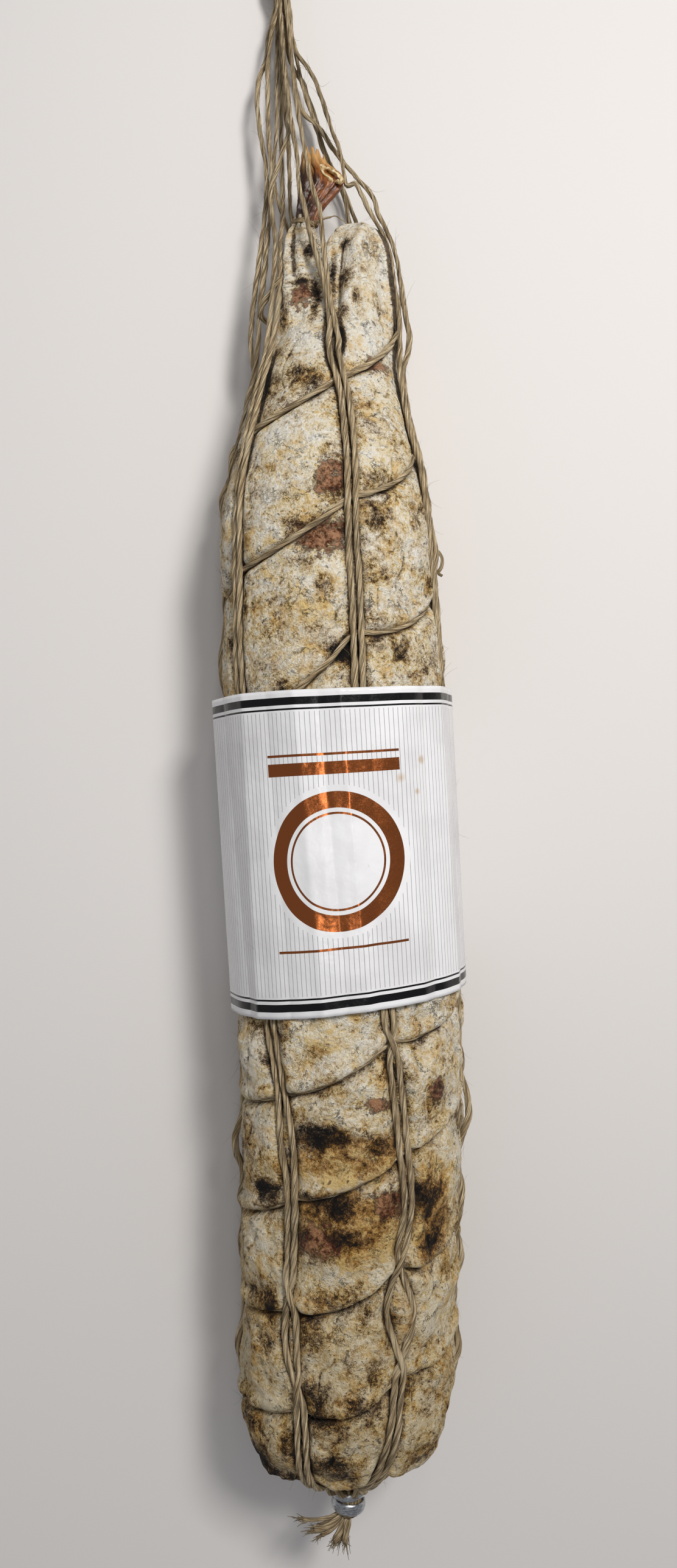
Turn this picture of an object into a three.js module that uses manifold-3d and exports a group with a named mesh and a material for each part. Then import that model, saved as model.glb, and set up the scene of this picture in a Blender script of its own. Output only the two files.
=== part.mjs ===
// A cured salami lying on a table: a long sausage in a natural casing, held in a net of
// hemp twine, with a loose paper band round its middle. Two aluminium clips close the blunt
// end, a string ties the gathered casing at the thin end, and the long twines of the net
// run on past it to a knot and a hanging loop.
//
// Millimetres. +Y runs along the sausage towards its hanging end, +Z is up, and the paper
// band's flat underside lies on z = 0. Angles round the sausage are degrees from the top,
// positive towards +X.
import * as THREE from "three";
import { mergeVertices } from "three/addons/utils/BufferGeometryUtils.js";
import Module from "manifold-3d";

const wasm = await Module();
wasm.setup();

// ---- Driving dimensions ----

const GAP = 0.3; // clearance between pieces that touch
const TWINE_R = 1.05; // the net's twine is 2.1 mm thick
const TWINE_SIDES = 6;
const PAIR_SPACING = 2.7; // centre to centre of the two twines of one wale
const PAPER = 0.6; // the band with its overlap

// Heights above the casing of the cross twines, and of the long twines that lie over them.
const CROSS_LIFT = 0.5 + TWINE_R;
const LONG_LIFT = CROSS_LIFT + 2 * TWINE_R + GAP;
const UNDERSIDE = PAPER + GAP + CROSS_LIFT + TWINE_R; // the casing's height above the table

// The casing at the bottom of the net's grooves: [y, radius, centre x, centre z].
const MIDDLE_R = 34;
const AXIS_Z = UNDERSIDE + MIDDLE_R;
const CASING = [
  [-236.6, 3.2, 3.4, AXIS_Z],
  [-232.8, 3.6, 2.6, AXIS_Z],
  [-231.4, 6.0, 1.8, AXIS_Z],
  [-230.2, 10.0, 1.0, AXIS_Z],
  [-227.4, 17.0, 0.6, AXIS_Z],
  [-221.5, 24.5, 0.8, AXIS_Z],
  [-212.5, 29.8, 1.6, AXIS_Z],
  [-200.0, 32.4, 2.8, AXIS_Z - 0.6],
  [-169.0, 33.0, 3.6, UNDERSIDE + 33.0],
  [-127.0, 33.5, 4.0, UNDERSIDE + 33.5],
  [-86.0, MIDDLE_R, 4.0, AXIS_Z],
  [-23.0, MIDDLE_R, 0.8, AXIS_Z],
  [39.0, MIDDLE_R, -1.6, AXIS_Z],
  [60.0, 33.5, -2.5, UNDERSIDE + 33.5],
  [81.0, 33.0, -3.5, UNDERSIDE + 33.0],
  [102.0, 31.1, -3.7, 34.9],
  [124.0, 26.6, -4.0, 31.3],
  [145.0, 23.0, -3.2, 28.6],
  [163.0, 19.6, -1.2, 26.0],
  [178.0, 16.2, 1.8, 24.8],
  [188.0, 12.0, 5.2, 24.5],
  [194.0, 7.4, 7.0, 24.5],
  [196.4, 2.5, 7.8, 24.5],
];

// The gathered casing at the thin end: a cone that stands beside the rounded end.
const NECK_BASE = new THREE.Vector3(-7.5, 142, 26);
const NECK_TIP = new THREE.Vector3(-12.6, 197, 24.5);
const NECK_PROFILE = [[8, 0], [13, 8], [12, 18], [9.5, 32], [6.4, 45], [4.2, 51], [3.5, 55]];

// The wales of the net, each a pair of long twines: where each runs round the sausage as
// [y, angle], and where the cross twines pass it, from the blunt end up. A cross twine
// passes the six wales in turn and meets the first again two places up.
const WALES = [
  {
    route: [[-200, -90], [120, -93]],
    passes: [-218, -203, -172, -141, -104, -69, -31, 8, 62, 113, 158],
  },
  {
    route: [
      [-210, -24], [-193, -26], [-178, -31], [-130, -31.5], [-109, -34], [-92, -38.5], [-75, -44],
      [40, -56], [130, -54], [162, -50], [186, -44],
    ],
    passes: [-222, -197, -166, -131, -98, -62, -22, 17, 69, 117],
  },
  {
    route: [
      [-210, 25.5], [-181, 27], [-152, 24.7], [-132, 29.5], [-112, 27], [-91, 22], [-72, 18],
      [40, 12], [120, 13], [148, -1], [162, -4], [186, -13],
    ],
    passes: [-220, -187, -152, -116, -81, -44, -1, 47, 90, 132],
  },
  {
    route: [[-200, 85], [-80, 82], [40, 75], [120, 70]],
    passes: [-211, -178, -143, -102, -68, -29, 17, 63, 110, 155],
  },
  {
    route: [[-200, 150], [120, 150]],
    passes: [-200, -166, -130, -91, -56, -17, 32, 80, 126],
  },
  {
    route: [[-200, 210], [120, 210]],
    passes: [-186, -153, -117, -80, -43, -4, 47, 96, 142],
  },
];
const CROSS_SAG = 3; // a cross twine hangs this much below the line between two wales

// Sections of the net past the thin end, where its twines run free to the knot.
const FREE_NET = [
  { y: 162, x: -3.2, z: 26.5, halfWidth: 26.5, halfHeight: 24.2, spread: 0 },
  { y: 186, x: -4, z: 24.5, halfWidth: 23.5, halfHeight: 20.5, spread: 0.05 },
  { y: 220, x: -9.5, z: 20.5, halfWidth: 17, halfHeight: 14.5, spread: 0.5 },
  { y: 246, x: -17, z: 15.5, halfWidth: 11.5, halfHeight: 10, spread: 0.8 },
  { y: 274, x: -19.5, z: 10.5, halfWidth: 6.5, halfHeight: 6.2, spread: 1 },
  { y: 290, x: -21.5, z: 8.2, halfWidth: 4.7, halfHeight: 4.7, spread: 1 },
  { y: 297, x: -22.5, z: 8, halfWidth: 4.7, halfHeight: 4.7, spread: 1 },
];
const COLLAR = { radius: 4.5, top: -236.9, twineY: -239.6 }; // the twines run into its side

// The paper band.
const BAND = { x: 0.6, y: -20.6, length: 100, radius: 41.1, tiltDegrees: 3.5 };

// The clips and what they hold, on one line below the blunt end.
const CLIP_X = 3.4;
const CLIP_BORE = 4.4;
const CLIP_WALL = 1.4;
const UPPER_CLIP = { y: -244.9, length: 2.9 };
const LOWER_CLIP = { y: -249.7, length: 4.4 };

// ---- Helpers ----

const radians = THREE.MathUtils.degToRad;
const lerp = THREE.MathUtils.lerp;

// One column of a table at y, the table's first column, along a cubic that doesn't overshoot.
function readTable(table, y, column) {
  const last = table.length - 1;
  const at = THREE.MathUtils.clamp(y, table[0][0], table[last][0]);
  let i = 0;
  while (i < last - 1 && table[i + 1][0] < at) i += 1;
  const slope = (k) => (table[k + 1][column] - table[k][column]) / (table[k + 1][0] - table[k][0]);
  const tangent = (k) => {
    if (k === 0) return slope(0);
    if (k === last) return slope(last - 1);
    const before = slope(k - 1);
    const after = slope(k);
    return before * after <= 0 ? 0 : (2 * before * after) / (before + after);
  };
  const width = table[i + 1][0] - table[i][0];
  const t = (at - table[i][0]) / width;
  const start = table[i][column] * (1 + 2 * t) + width * tangent(i) * t;
  const end = table[i + 1][column] * (3 - 2 * t) + width * tangent(i + 1) * (t - 1);
  return start * (1 - t) ** 2 + end * t ** 2;
}
const casingColumn = (y, column) => readTable(CASING, y, column);
const waleAngle = (wale, y) => readTable(wale.route, y, 1);

// A point above the casing, lifted along the casing's own normal.
function overCasing(y, degrees, lift) {
  const step = 0.4;
  const slope = (casingColumn(y + step, 1) - casingColumn(y - step, 1)) / (2 * step);
  const flat = 1 / Math.hypot(1, slope);
  const reach = casingColumn(y, 1) + lift * flat;
  return new THREE.Vector3(
    casingColumn(y, 2) + reach * Math.sin(radians(degrees)),
    y - lift * slope * flat,
    casingColumn(y, 3) + reach * Math.cos(radians(degrees)),
  );
}

function regularPolygon(radius, sides) {
  const corners = [];
  for (let i = 0; i < sides; i += 1) {
    const turn = (2 * Math.PI * i) / sides;
    corners.push(new THREE.Vector2(radius * Math.cos(turn), radius * Math.sin(turn)));
  }
  return new THREE.Shape(corners);
}

// A twine of round section along a smooth curve through the points.
function twine(points, steps, radius = TWINE_R, sides = TWINE_SIDES) {
  const extrudePath = new THREE.CatmullRomCurve3(points, false, "centripetal");
  const section = regularPolygon(radius, sides);
  return new THREE.ExtrudeGeometry(section, { steps, extrudePath, bevelEnabled: false });
}

// A manifold-3d solid of a closed geometry.
function solidOf(geometry) {
  const bare = new THREE.BufferGeometry();
  const loose = geometry.index ? geometry.toNonIndexed() : geometry;
  bare.setAttribute("position", loose.attributes.position.clone());
  const merged = mergeVertices(bare, 1e-4);
  return new wasm.Manifold(new wasm.Mesh({
    numProp: 3,
    vertProperties: new Float32Array(merged.attributes.position.array),
    triVerts: new Uint32Array(merged.index.array),
  }));
}

function geometryOf(solid) {
  const mesh = solid.getMesh();
  const geometry = new THREE.BufferGeometry();
  geometry.setAttribute("position", new THREE.BufferAttribute(mesh.vertProperties, 3));
  geometry.setIndex(new THREE.BufferAttribute(mesh.triVerts, 1));
  return geometry;
}

function union(geometries) {
  return geometryOf(geometries.map(solidOf).reduce((whole, next) => whole.add(next)));
}

const salamiPart = new THREE.Group();

function addPiece(name, geometry, material) {
  const mesh = new THREE.Mesh(geometry, material);
  mesh.name = name;
  salamiPart.add(mesh);
  return mesh;
}

// ---- Materials ----

const mouldedCasing = () => new THREE.MeshStandardMaterial({ color: "#b9a98a", roughness: 0.95 });
const dryCasing = () => new THREE.MeshStandardMaterial({ color: "#a5613a", roughness: 0.45 });
const hempTwine = () => new THREE.MeshStandardMaterial({ color: "#9c8a6a", roughness: 0.9 });
const paleString = () => new THREE.MeshStandardMaterial({ color: "#d8c9a8", roughness: 0.9 });
const coatedPaper = () => new THREE.MeshStandardMaterial({ color: "#eeedee", roughness: 0.35 });
const aluminium = () => new THREE.MeshStandardMaterial({ color: "#b9bcc0", roughness: 0.3, metalness: 1 });

// ---- The sausage ----

const points2 = (pairs) => pairs.map(([radius, y]) => new THREE.Vector2(radius, y));

// A turned shape whose rings are then moved sideways to follow the bend, joined to the neck.
function sausageGeometry() {
  const tipY = CASING.at(-1)[0] + 0.6;
  const profile = [[0, CASING[0][0]]];
  CASING.forEach(([y], i) => {
    profile.push([casingColumn(y, 1), y]);
    const next = CASING[i + 1] ? CASING[i + 1][0] : y;
    if (next - y > 5) profile.push([casingColumn((y + next) / 2, 1), (y + next) / 2]);
  });
  profile.push([0, tipY]);
  const turned = new THREE.LatheGeometry(points2(profile), 32);
  const position = turned.attributes.position;
  for (let i = 0; i < position.count; i += 1) {
    const y = position.getY(i);
    position.setX(i, position.getX(i) + casingColumn(y, 2));
    position.setZ(i, position.getZ(i) + casingColumn(y, 3));
  }
  const neckProfile = [[0, 0], ...NECK_PROFILE, [0, NECK_PROFILE.at(-1)[1]]];
  const neck = new THREE.LatheGeometry(points2(neckProfile), 20);
  const lean = new THREE.Vector3().subVectors(NECK_TIP, NECK_BASE).normalize();
  neck.applyQuaternion(new THREE.Quaternion().setFromUnitVectors(new THREE.Vector3(0, 1, 0), lean));
  neck.translate(NECK_BASE.x, NECK_BASE.y, NECK_BASE.z);
  return union([turned, neck]);
}
addPiece("salami", sausageGeometry(), mouldedCasing());

// The string round the neck, and the dry casing that stands out past it.
const TIE_STRING_R = 0.8;
const tieR = NECK_PROFILE.at(-1)[0] + GAP + TIE_STRING_R;
const tie = new THREE.TorusGeometry(tieR, TIE_STRING_R, 6, 18);
tie.rotateX(Math.PI / 2);
tie.translate(NECK_TIP.x, NECK_TIP.y, NECK_TIP.z);
addPiece("neck_tie", tie, paleString());

// The tail is a flattened, crumpled tube: [distance along, half width, half thickness, x].
const TAIL_SECTIONS = [
  [0, 3.4, 3.4, -12.4],
  [6, 5.0, 3.2, -9.6],
  [12, 6.9, 2.8, -5.9],
  [16, 6.0, 2.6, -6.0],
  [20, 3.2, 2.2, -7.8],
  [26, 2.0, 1.6, -7.6],
];
function casingTailGeometry() {
  const start = NECK_TIP.y + GAP;
  const length = TAIL_SECTIONS.at(-1)[0];
  const profile = [[0, 0], ...TAIL_SECTIONS.map(([along]) => [1, along]), [0, length]];
  const tail = new THREE.LatheGeometry(points2(profile), 16);
  const position = tail.attributes.position;
  for (let i = 0; i < position.count; i += 1) {
    const section = TAIL_SECTIONS.find(([along]) => Math.abs(along - position.getY(i)) < 0.01);
    position.setX(i, position.getX(i) * section[1] + section[3]);
    position.setY(i, position.getY(i) + start);
    position.setZ(i, position.getZ(i) * section[2] + NECK_TIP.z);
  }
  return tail;
}
addPiece("casing_tail", casingTailGeometry(), dryCasing());

// ---- The net ----

// Each wale is two twines. They start at the collar above the clips, lie on the casing over
// the cross twines, and run free past the thin end into the knot.
const ROUND_END_Y = -190;
const ROUND_END_CLEARANCE = 0.8; // the straight steps of a twine cut corners on the round end
const SIDE_CLEARANCE = 0.15;
const FREE_PAIR_DEGREES = 3.5;
const LONG_TWINE_STEPS = 46;
function longTwine(wale, index, side) {
  const evenAngle = -90 + 60 * index + 15 * side;
  const atCollar = (reach, y) => new THREE.Vector3(
    CLIP_X + (COLLAR.radius + reach) * Math.sin(radians(evenAngle)),
    y,
    AXIS_Z + (COLLAR.radius + reach) * Math.cos(radians(evenAngle)),
  );
  const points = [atCollar(0.5, COLLAR.twineY), atCollar(2.8, COLLAR.twineY + 0.6)];
  const stations = [-229.9, -227.4, -223.5, -218, -210, -200, -185];
  for (let y = -165; y <= 130; y += 21) stations.push(y);
  for (const y of stations) {
    const lift = LONG_LIFT + (y < ROUND_END_Y ? ROUND_END_CLEARANCE : SIDE_CLEARANCE);
    const pairAngle = THREE.MathUtils.radToDeg(PAIR_SPACING / 2 / (casingColumn(y, 1) + lift));
    points.push(overCasing(y, waleAngle(wale, y) + side * pairAngle, lift));
  }
  for (const section of FREE_NET) {
    const pairedAngle = waleAngle(wale, section.y) + FREE_PAIR_DEGREES * side;
    const angle = radians(lerp(pairedAngle, evenAngle, section.spread));
    points.push(new THREE.Vector3(
      section.x + section.halfWidth * Math.sin(angle),
      section.y,
      section.z + section.halfHeight * Math.cos(angle),
    ));
  }
  return twine(points, LONG_TWINE_STEPS);
}
WALES.forEach((wale, index) => {
  addPiece(`long_twine_${index + 1}a`, longTwine(wale, index, -1), hempTwine());
  addPiece(`long_twine_${index + 1}b`, longTwine(wale, index, 1), hempTwine());
});

// A cross twine winds up the sausage under the long ones, sagging between the wales.
const CROSS_TWINE_STEPS = 140;
function crossTwine(firstLevel) {
  const passes = [];
  for (let level = firstLevel; level < WALES[0].passes.length; level += 2) {
    WALES.forEach((wale, index) => {
      if (level < wale.passes.length) {
        const y = wale.passes[level];
        const turns = 360 * ((level - firstLevel) / 2);
        passes.push({ y, angle: waleAngle(wale, y) + turns });
      }
    });
  }
  const points = [];
  passes.forEach((pass, i) => {
    const next = passes[i + 1] ?? pass;
    const fractions = next === pass ? [0] : [0, 1 / 3, 2 / 3];
    for (const t of fractions) {
      const sag = 4 * CROSS_SAG * t * (1 - t);
      points.push(overCasing(lerp(pass.y, next.y, t) - sag, lerp(pass.angle, next.angle, t), CROSS_LIFT));
    }
  });
  return twine(points, CROSS_TWINE_STEPS);
}
addPiece("cross_twine_1", crossTwine(0), hempTwine());
addPiece("cross_twine_2", crossTwine(1), hempTwine());

// ---- The paper band ----

// A sleeve with a flat underside: the circle is cut off where it meets the table.
function bandOutline(radius, floor, clockwise) {
  const edge = Math.asin((AXIS_Z - floor) / radius);
  const start = -edge;
  const end = Math.PI + edge;
  const outline = clockwise ? new THREE.Path() : new THREE.Shape();
  outline.absarc(0, AXIS_Z, radius, clockwise ? end : start, clockwise ? start : end, clockwise);
  outline.closePath();
  return outline;
}
function bandGeometry() {
  const section = bandOutline(BAND.radius, 0, false);
  section.holes.push(bandOutline(BAND.radius - PAPER, PAPER, true));
  const sleeve = new THREE.ExtrudeGeometry(section, {
    depth: BAND.length,
    steps: 1,
    curveSegments: 32,
    bevelEnabled: false,
  });
  // The section stands in X and Z, and the sleeve runs along Y.
  sleeve.translate(0, 0, -BAND.length / 2);
  sleeve.rotateX(Math.PI / 2);
  sleeve.rotateZ(radians(BAND.tiltDegrees));
  sleeve.translate(BAND.x, BAND.y, 0);
  return sleeve;
}
addPiece("paper_band", bandGeometry(), coatedPaper());

// ---- The clips and the ends of the net ----

// A clip is a flat wire bent round the gathered end, its legs almost meeting underneath.
function clipGeometry(clip) {
  const slit = 0.12;
  const outline = new THREE.Shape();
  outline.absarc(0, 0, CLIP_BORE + CLIP_WALL, -Math.PI / 2 + slit, 1.5 * Math.PI - slit, false);
  outline.absarc(0, 0, CLIP_BORE, 1.5 * Math.PI - slit, -Math.PI / 2 + slit, true);
  outline.closePath();
  const wire = new THREE.ExtrudeGeometry(outline, {
    depth: clip.length,
    steps: 1,
    curveSegments: 20,
    bevelEnabled: false,
  });
  wire.rotateX(-Math.PI / 2);
  wire.translate(CLIP_X, clip.y, AXIS_Z);
  return wire;
}
addPiece("clip_upper", clipGeometry(UPPER_CLIP), aluminium());
addPiece("clip_lower", clipGeometry(LOWER_CLIP), aluminium());

// The twines are squeezed into one bundle through both clips, and their cut ends fan out
// below it: [x, y, z] of each end, from the bundle's centre.
const CUT_ENDS = [
  [-20.5, -5.5, 1.5], [-16, -10, 2.5], [-14.5, -11, -1.5], [-12, -11.5, 1],
  [-7.5, -16.5, 2], [-5.5, -17.5, -1], [-3, -16, 3], [-4, -15, -3.5],
];
function twineEndsGeometry() {
  const waist = CLIP_BORE - GAP;
  const bundle = new THREE.LatheGeometry(points2([
    [0, -251.2],
    [2.6, -251.2],
    [waist, -250],
    [waist, -241.4],
    [COLLAR.radius, -241],
    [COLLAR.radius, COLLAR.top],
    [0, COLLAR.top],
  ]), 16);
  bundle.translate(CLIP_X, 0, AXIS_Z);
  const tails = CUT_ENDS.map(([x, y, z]) => twine([
    new THREE.Vector3(CLIP_X + x * 0.05, -248.5, AXIS_Z + z * 0.4),
    new THREE.Vector3(CLIP_X + x * 0.16, -251.2, AXIS_Z + z * 0.6),
    new THREE.Vector3(CLIP_X + x * 0.5, -250.6 + y * 0.45, AXIS_Z + z * 0.9),
    new THREE.Vector3(CLIP_X + x, -246 + y, AXIS_Z + z),
  ], 6));
  return union([bundle, ...tails]);
}
addPiece("twine_ends", twineEndsGeometry(), hempTwine());

// ---- The knot and the hanging loop ----

const KNOT = { x: -23.2, start: 297.3, length: 13, z: 8 };
function knotGeometry() {
  const swell = [[5.8, 0], [7.2, 3], [7.4, 6.5], [6.4, 10.5], [3.6, KNOT.length]];
  const knot = new THREE.LatheGeometry(points2([[0, 0], ...swell, [0, KNOT.length]]), 18);
  knot.translate(KNOT.x, KNOT.start, KNOT.z);
  return knot;
}
addPiece("top_knot", knotGeometry(), hempTwine());

// A limp loop out of the knot and back, lying on the table: a route chosen by hand.
const LOOP_FROM_KNOT = [
  [-1.6, 0.4, 0.2], [-2, 4, -0.4], [-4.4, 9, -3.8], [-8, 15, -6.2], [-12, 22, -6.8],
  [-15.2, 31, -6.8], [-15.6, 40, -6.8], [-12, 47.5, -6.8], [-5, 51.5, -6.8], [2.5, 50, -6.8],
  [7, 44, -6.8], [7.8, 35.5, -6.8], [6.4, 26, -6.8], [4.6, 17, -6.4], [3, 9.5, -4], [2, 4, -0.4],
  [1.6, 0.4, 0.2],
];
const loopPoints = LOOP_FROM_KNOT.map(
  ([x, y, z]) => new THREE.Vector3(KNOT.x + x, KNOT.start + KNOT.length + y, KNOT.z + z),
);
const LOOP_STEPS = 44;
const LOOP_SIDES = 8;
const loop = twine(loopPoints, LOOP_STEPS, TWINE_R, LOOP_SIDES);
const hangingLoop = addPiece("hanging_loop", loop, hempTwine());

// ---- Origin: bottom centre of everything but the limp loop ----

const box = new THREE.Box3();
for (const piece of salamiPart.children) {
  if (piece !== hangingLoop) box.expandByObject(piece);
}
const centre = box.getCenter(new THREE.Vector3());
salamiPart.position.set(-centre.x, -centre.y, -box.min.z);

export default salamiPart;
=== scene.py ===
import functools
import math

import bpy
import numpy as np
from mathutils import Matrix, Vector, kdtree, noise


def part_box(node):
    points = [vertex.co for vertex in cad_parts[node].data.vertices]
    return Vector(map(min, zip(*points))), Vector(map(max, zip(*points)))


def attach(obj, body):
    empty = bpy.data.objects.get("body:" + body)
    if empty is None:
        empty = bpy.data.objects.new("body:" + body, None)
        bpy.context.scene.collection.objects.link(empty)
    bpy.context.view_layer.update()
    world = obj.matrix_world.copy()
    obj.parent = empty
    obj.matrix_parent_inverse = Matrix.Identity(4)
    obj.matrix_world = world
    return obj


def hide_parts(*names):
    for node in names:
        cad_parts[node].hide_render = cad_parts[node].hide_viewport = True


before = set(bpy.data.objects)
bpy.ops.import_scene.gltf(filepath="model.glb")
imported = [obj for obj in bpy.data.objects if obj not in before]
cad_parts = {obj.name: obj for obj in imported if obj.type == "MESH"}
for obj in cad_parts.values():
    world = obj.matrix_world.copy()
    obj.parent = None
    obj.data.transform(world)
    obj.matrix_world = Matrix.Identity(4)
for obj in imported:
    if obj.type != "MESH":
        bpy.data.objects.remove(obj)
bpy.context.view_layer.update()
bpy.ops.object.select_all(action="DESELECT")

# ---- The camera ----
# Square above the table, with the sausage upright in the picture. Nothing tilts or shifts.

camera_data = bpy.data.cameras.new("camera")
camera_data.lens = 26
camera_data.sensor_width = 36
camera_data.clip_start = 0.01
camera = bpy.data.objects.new("camera", camera_data)
band_low, band_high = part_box("paper_band")
sausage_low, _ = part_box("salami")
# The middle of the picture is 0.6 mm left of the root and 236.6 mm past the meat's foot.
camera.location = (-0.0006, sausage_low.y + 0.2366, 0.4245)
bpy.context.collection.objects.link(camera)
bpy.context.scene.camera = camera

# ---- The hanging loop ----
# A limp loop of three-ply hemp twine, 2.1 mm thick, out of the knot and back into it. It is
# laid where its solid lies. Twisting the plies leaves long slanting fibres and a hairy skin.

MM = 0.001
TWINE_R = 1.05
TWINE_PLIES = 3
TWINE_PITCH = 27.0  # one turn of the plies
# All tables below are in millimetres from this point: x from the band's middle less 0.6,
# y from the foot of the gathered casing at -236.6, z from the table.
ORIGIN = np.array([(band_low.x + band_high.x) / 2 / MM - 0.6, sausage_low.y / MM + 236.6, 0.0])
KNOT = {"x": -23.2, "start": 297.3, "length": 13.0, "z": 8.0}
LOOP_FROM_KNOT = [
    (-1.6, 0.4, 0.2), (-2, 4, -0.4), (-4.4, 9, -3.8), (-8, 15, -6.2), (-12, 22, -6.8),
    (-15.2, 31, -6.8), (-15.6, 40, -6.8), (-12, 47.5, -6.8), (-5, 51.5, -6.8), (2.5, 50, -6.8),
    (7, 44, -6.8), (7.8, 35.5, -6.8), (6.4, 26, -6.8), (4.6, 17, -6.4), (3, 9.5, -4),
    (2, 4, -0.4), (1.6, 0.4, 0.2),
]


def smooth_line(points, spacing=0.9):
    """A smooth line through the points, in even steps."""
    p = np.array(points, float)
    gap = np.linalg.norm(np.diff(p, axis=0), axis=1)[:, None]
    slope = np.diff(p, axis=0) / gap
    middle = (slope[:-1] * gap[1:] + slope[1:] * gap[:-1]) / (gap[1:] + gap[:-1])
    tangent = np.vstack([slope[:1], middle, slope[-1:]])
    t = np.linspace(0, 1, 17)[:-1, None]
    parts = []
    for i in range(len(p) - 1):
        rise = (2 * t**3 - 3 * t**2 + 1) * p[i] + (3 * t**2 - 2 * t**3) * p[i + 1]
        lean = (t**3 - 2 * t**2 + t) * tangent[i] + (t**3 - t**2) * tangent[i + 1]
        parts.append(rise + gap[i] * lean)
    line = np.vstack(parts + [p[-1:]])
    along = np.concatenate([[0], np.cumsum(np.linalg.norm(np.diff(line, axis=0), axis=1))])
    at = np.linspace(0, along[-1], max(4, int(along[-1] / spacing) + 1))
    return np.stack([np.interp(at, along, line[:, k]) for k in range(3)], axis=1)


def cross_sections(line):
    """The line's direction at each point, and two directions square to it that never twist."""
    ahead = np.gradient(line, axis=0)
    ahead /= np.linalg.norm(ahead, axis=1)[:, None]
    side = np.empty_like(line)
    held = np.cross(ahead[0], (0.3, 0.2, 1.0))
    for i, t in enumerate(ahead):
        held = held - t * (held @ t)
        held = held / np.linalg.norm(held)
        side[i] = held
    return ahead, side, np.cross(ahead, side)


def slow_noise(length, period, seed):
    """Smooth noise of about +-1 along a line, one swing in each period."""
    knots = np.random.default_rng(seed).uniform(-1, 1, int(length / period) + 4)
    at = np.linspace(0, len(knots) - 3.001, length) + 1
    i = at.astype(int)
    t = at - i
    t = t * t * (3 - 2 * t)
    return knots[i] * (1 - t) + knots[i + 1] * t


class Solid:
    """Points, faces and the unrolled place of each face corner, gathered for one mesh."""

    def __init__(self):
        self.points, self.faces, self.unrolled, self.count = [], [], [], 0

    def tube(self, rings, along):
        """Closes rings of points into a tube with flat ends. along is each ring's distance."""
        n, k = rings.shape[:2]
        faces, unrolled = [], []
        for i in range(n - 1):
            for j in range(k):
                near, far = i * k + j, i * k + (j + 1) % k
                faces.append((near, far, far + k, near + k))
                u, w = along[i], along[i + 1]
                unrolled += [(u, j / k), (u, (j + 1) / k), (w, (j + 1) / k), (w, j / k)]
        faces += [tuple(range(k))[::-1], tuple(range((n - 1) * k, n * k))]
        unrolled += [(along[0], j / k) for j in range(k)] + [(along[-1], j / k) for j in range(k)]
        self.faces += [tuple(i + self.count for i in face) for face in faces]
        self.unrolled += unrolled
        self.points.append(rings.reshape(-1, 3))
        self.count += n * k


def make_piece(name, solid, material, slot, *nodes):
    """One object from a gathered solid. It rides on the root and stands for those CAD nodes."""
    mesh = bpy.data.meshes.new(name + "_finished")
    points = (np.vstack(solid.points) + ORIGIN) * MM
    mesh.from_pydata(points.tolist(), [], solid.faces)
    layer = mesh.uv_layers.new(name="unrolled")
    layer.data.foreach_set("uv", np.array(solid.unrolled, np.float32).ravel())
    mesh.shade_smooth()
    mesh.materials.append(material)
    piece = bpy.data.objects.new(name + "_finished", mesh)
    bpy.context.collection.objects.link(piece)
    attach(piece, "root")
    if nodes:
        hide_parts(*nodes)
    return piece


def lay_twine(solid, line, seed, radius=TWINE_R, thin_to=1.0):
    """Adds a twisted three-ply twine. Its radius is one number, or one for each place."""
    _, side, up = cross_sections(line)
    k = 4 * TWINE_PLIES
    along = np.concatenate([[0], np.cumsum(np.linalg.norm(np.diff(line, axis=0), axis=1))])
    thick = 1 + 0.11 * slow_noise(len(line), 7, seed) + 0.06 * slow_noise(len(line), 2, seed + 1)
    thick = thick * np.linspace(1, thin_to, len(line))
    flat = 0.17 * slow_noise(len(line), 11, seed + 2)
    corner = 2 * np.pi * np.arange(k) / k
    turn = corner + 2 * np.pi * (along / TWINE_PITCH)[:, None]
    lobes = (radius * thick)[:, None] * (0.95 + 0.12 * np.cos(TWINE_PLIES * corner))
    rings = line[:, None] + (lobes * (1 + flat[:, None]) * np.cos(turn))[..., None] * side[:, None]
    rings += (lobes * (1 - flat[:, None]) * np.sin(turn))[..., None] * up[:, None]
    solid.tube(rings, along * MM)


def linear(hex_colour):
    """An sRGB hex colour as linear RGBA."""
    parts = [int(hex_colour[i : i + 2], 16) / 255 for i in (1, 3, 5)]
    return (*[c / 12.92 if c < 0.04045 else ((c + 0.055) / 1.055) ** 2.4 for c in parts], 1)


def join(node, sockets):
    """Sets each socket of a node to a value, or links it to another node's output."""
    for socket, value in dict(sockets).items():
        if isinstance(value, bpy.types.NodeSocket):
            node.id_data.links.new(value, node.inputs[socket])
        else:
            node.inputs[socket].default_value = value


def add_node(tree, kind, sockets=(), stops=(), out=0, **settings):
    """Adds a node with its settings, colour stops and sockets, and gives back one output."""
    made = tree.nodes.new("ShaderNode" + kind)
    for name, value in settings.items():
        setattr(made, name, value)
    for i, (place, colour) in enumerate(stops):
        if i > 1:
            made.color_ramp.elements.new(place)
        made.color_ramp.elements[i].position = place
        made.color_ramp.elements[i].color = linear(colour)
    join(made, sockets)
    return made if out is None else made.outputs[out]


def new_material(name):
    """A material, its shader, and the function that adds a node to it."""
    material = bpy.data.materials.new(name)
    material.use_nodes = True
    tree = material.node_tree
    return material, tree.nodes["Principled BSDF"], functools.partial(add_node, tree)


# Hemp twine: retted bast fibre, dry-spun and plied. The spinning leaves slanting dark and
# light fibres, and the mould of the curing room has dusted it grey.
hemp_twine, shader, add = new_material("hemp_twine")
unrolled = add("UVMap", uv_map="unrolled", out="UV")
place = add("TexCoord", out="Object")
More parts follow.
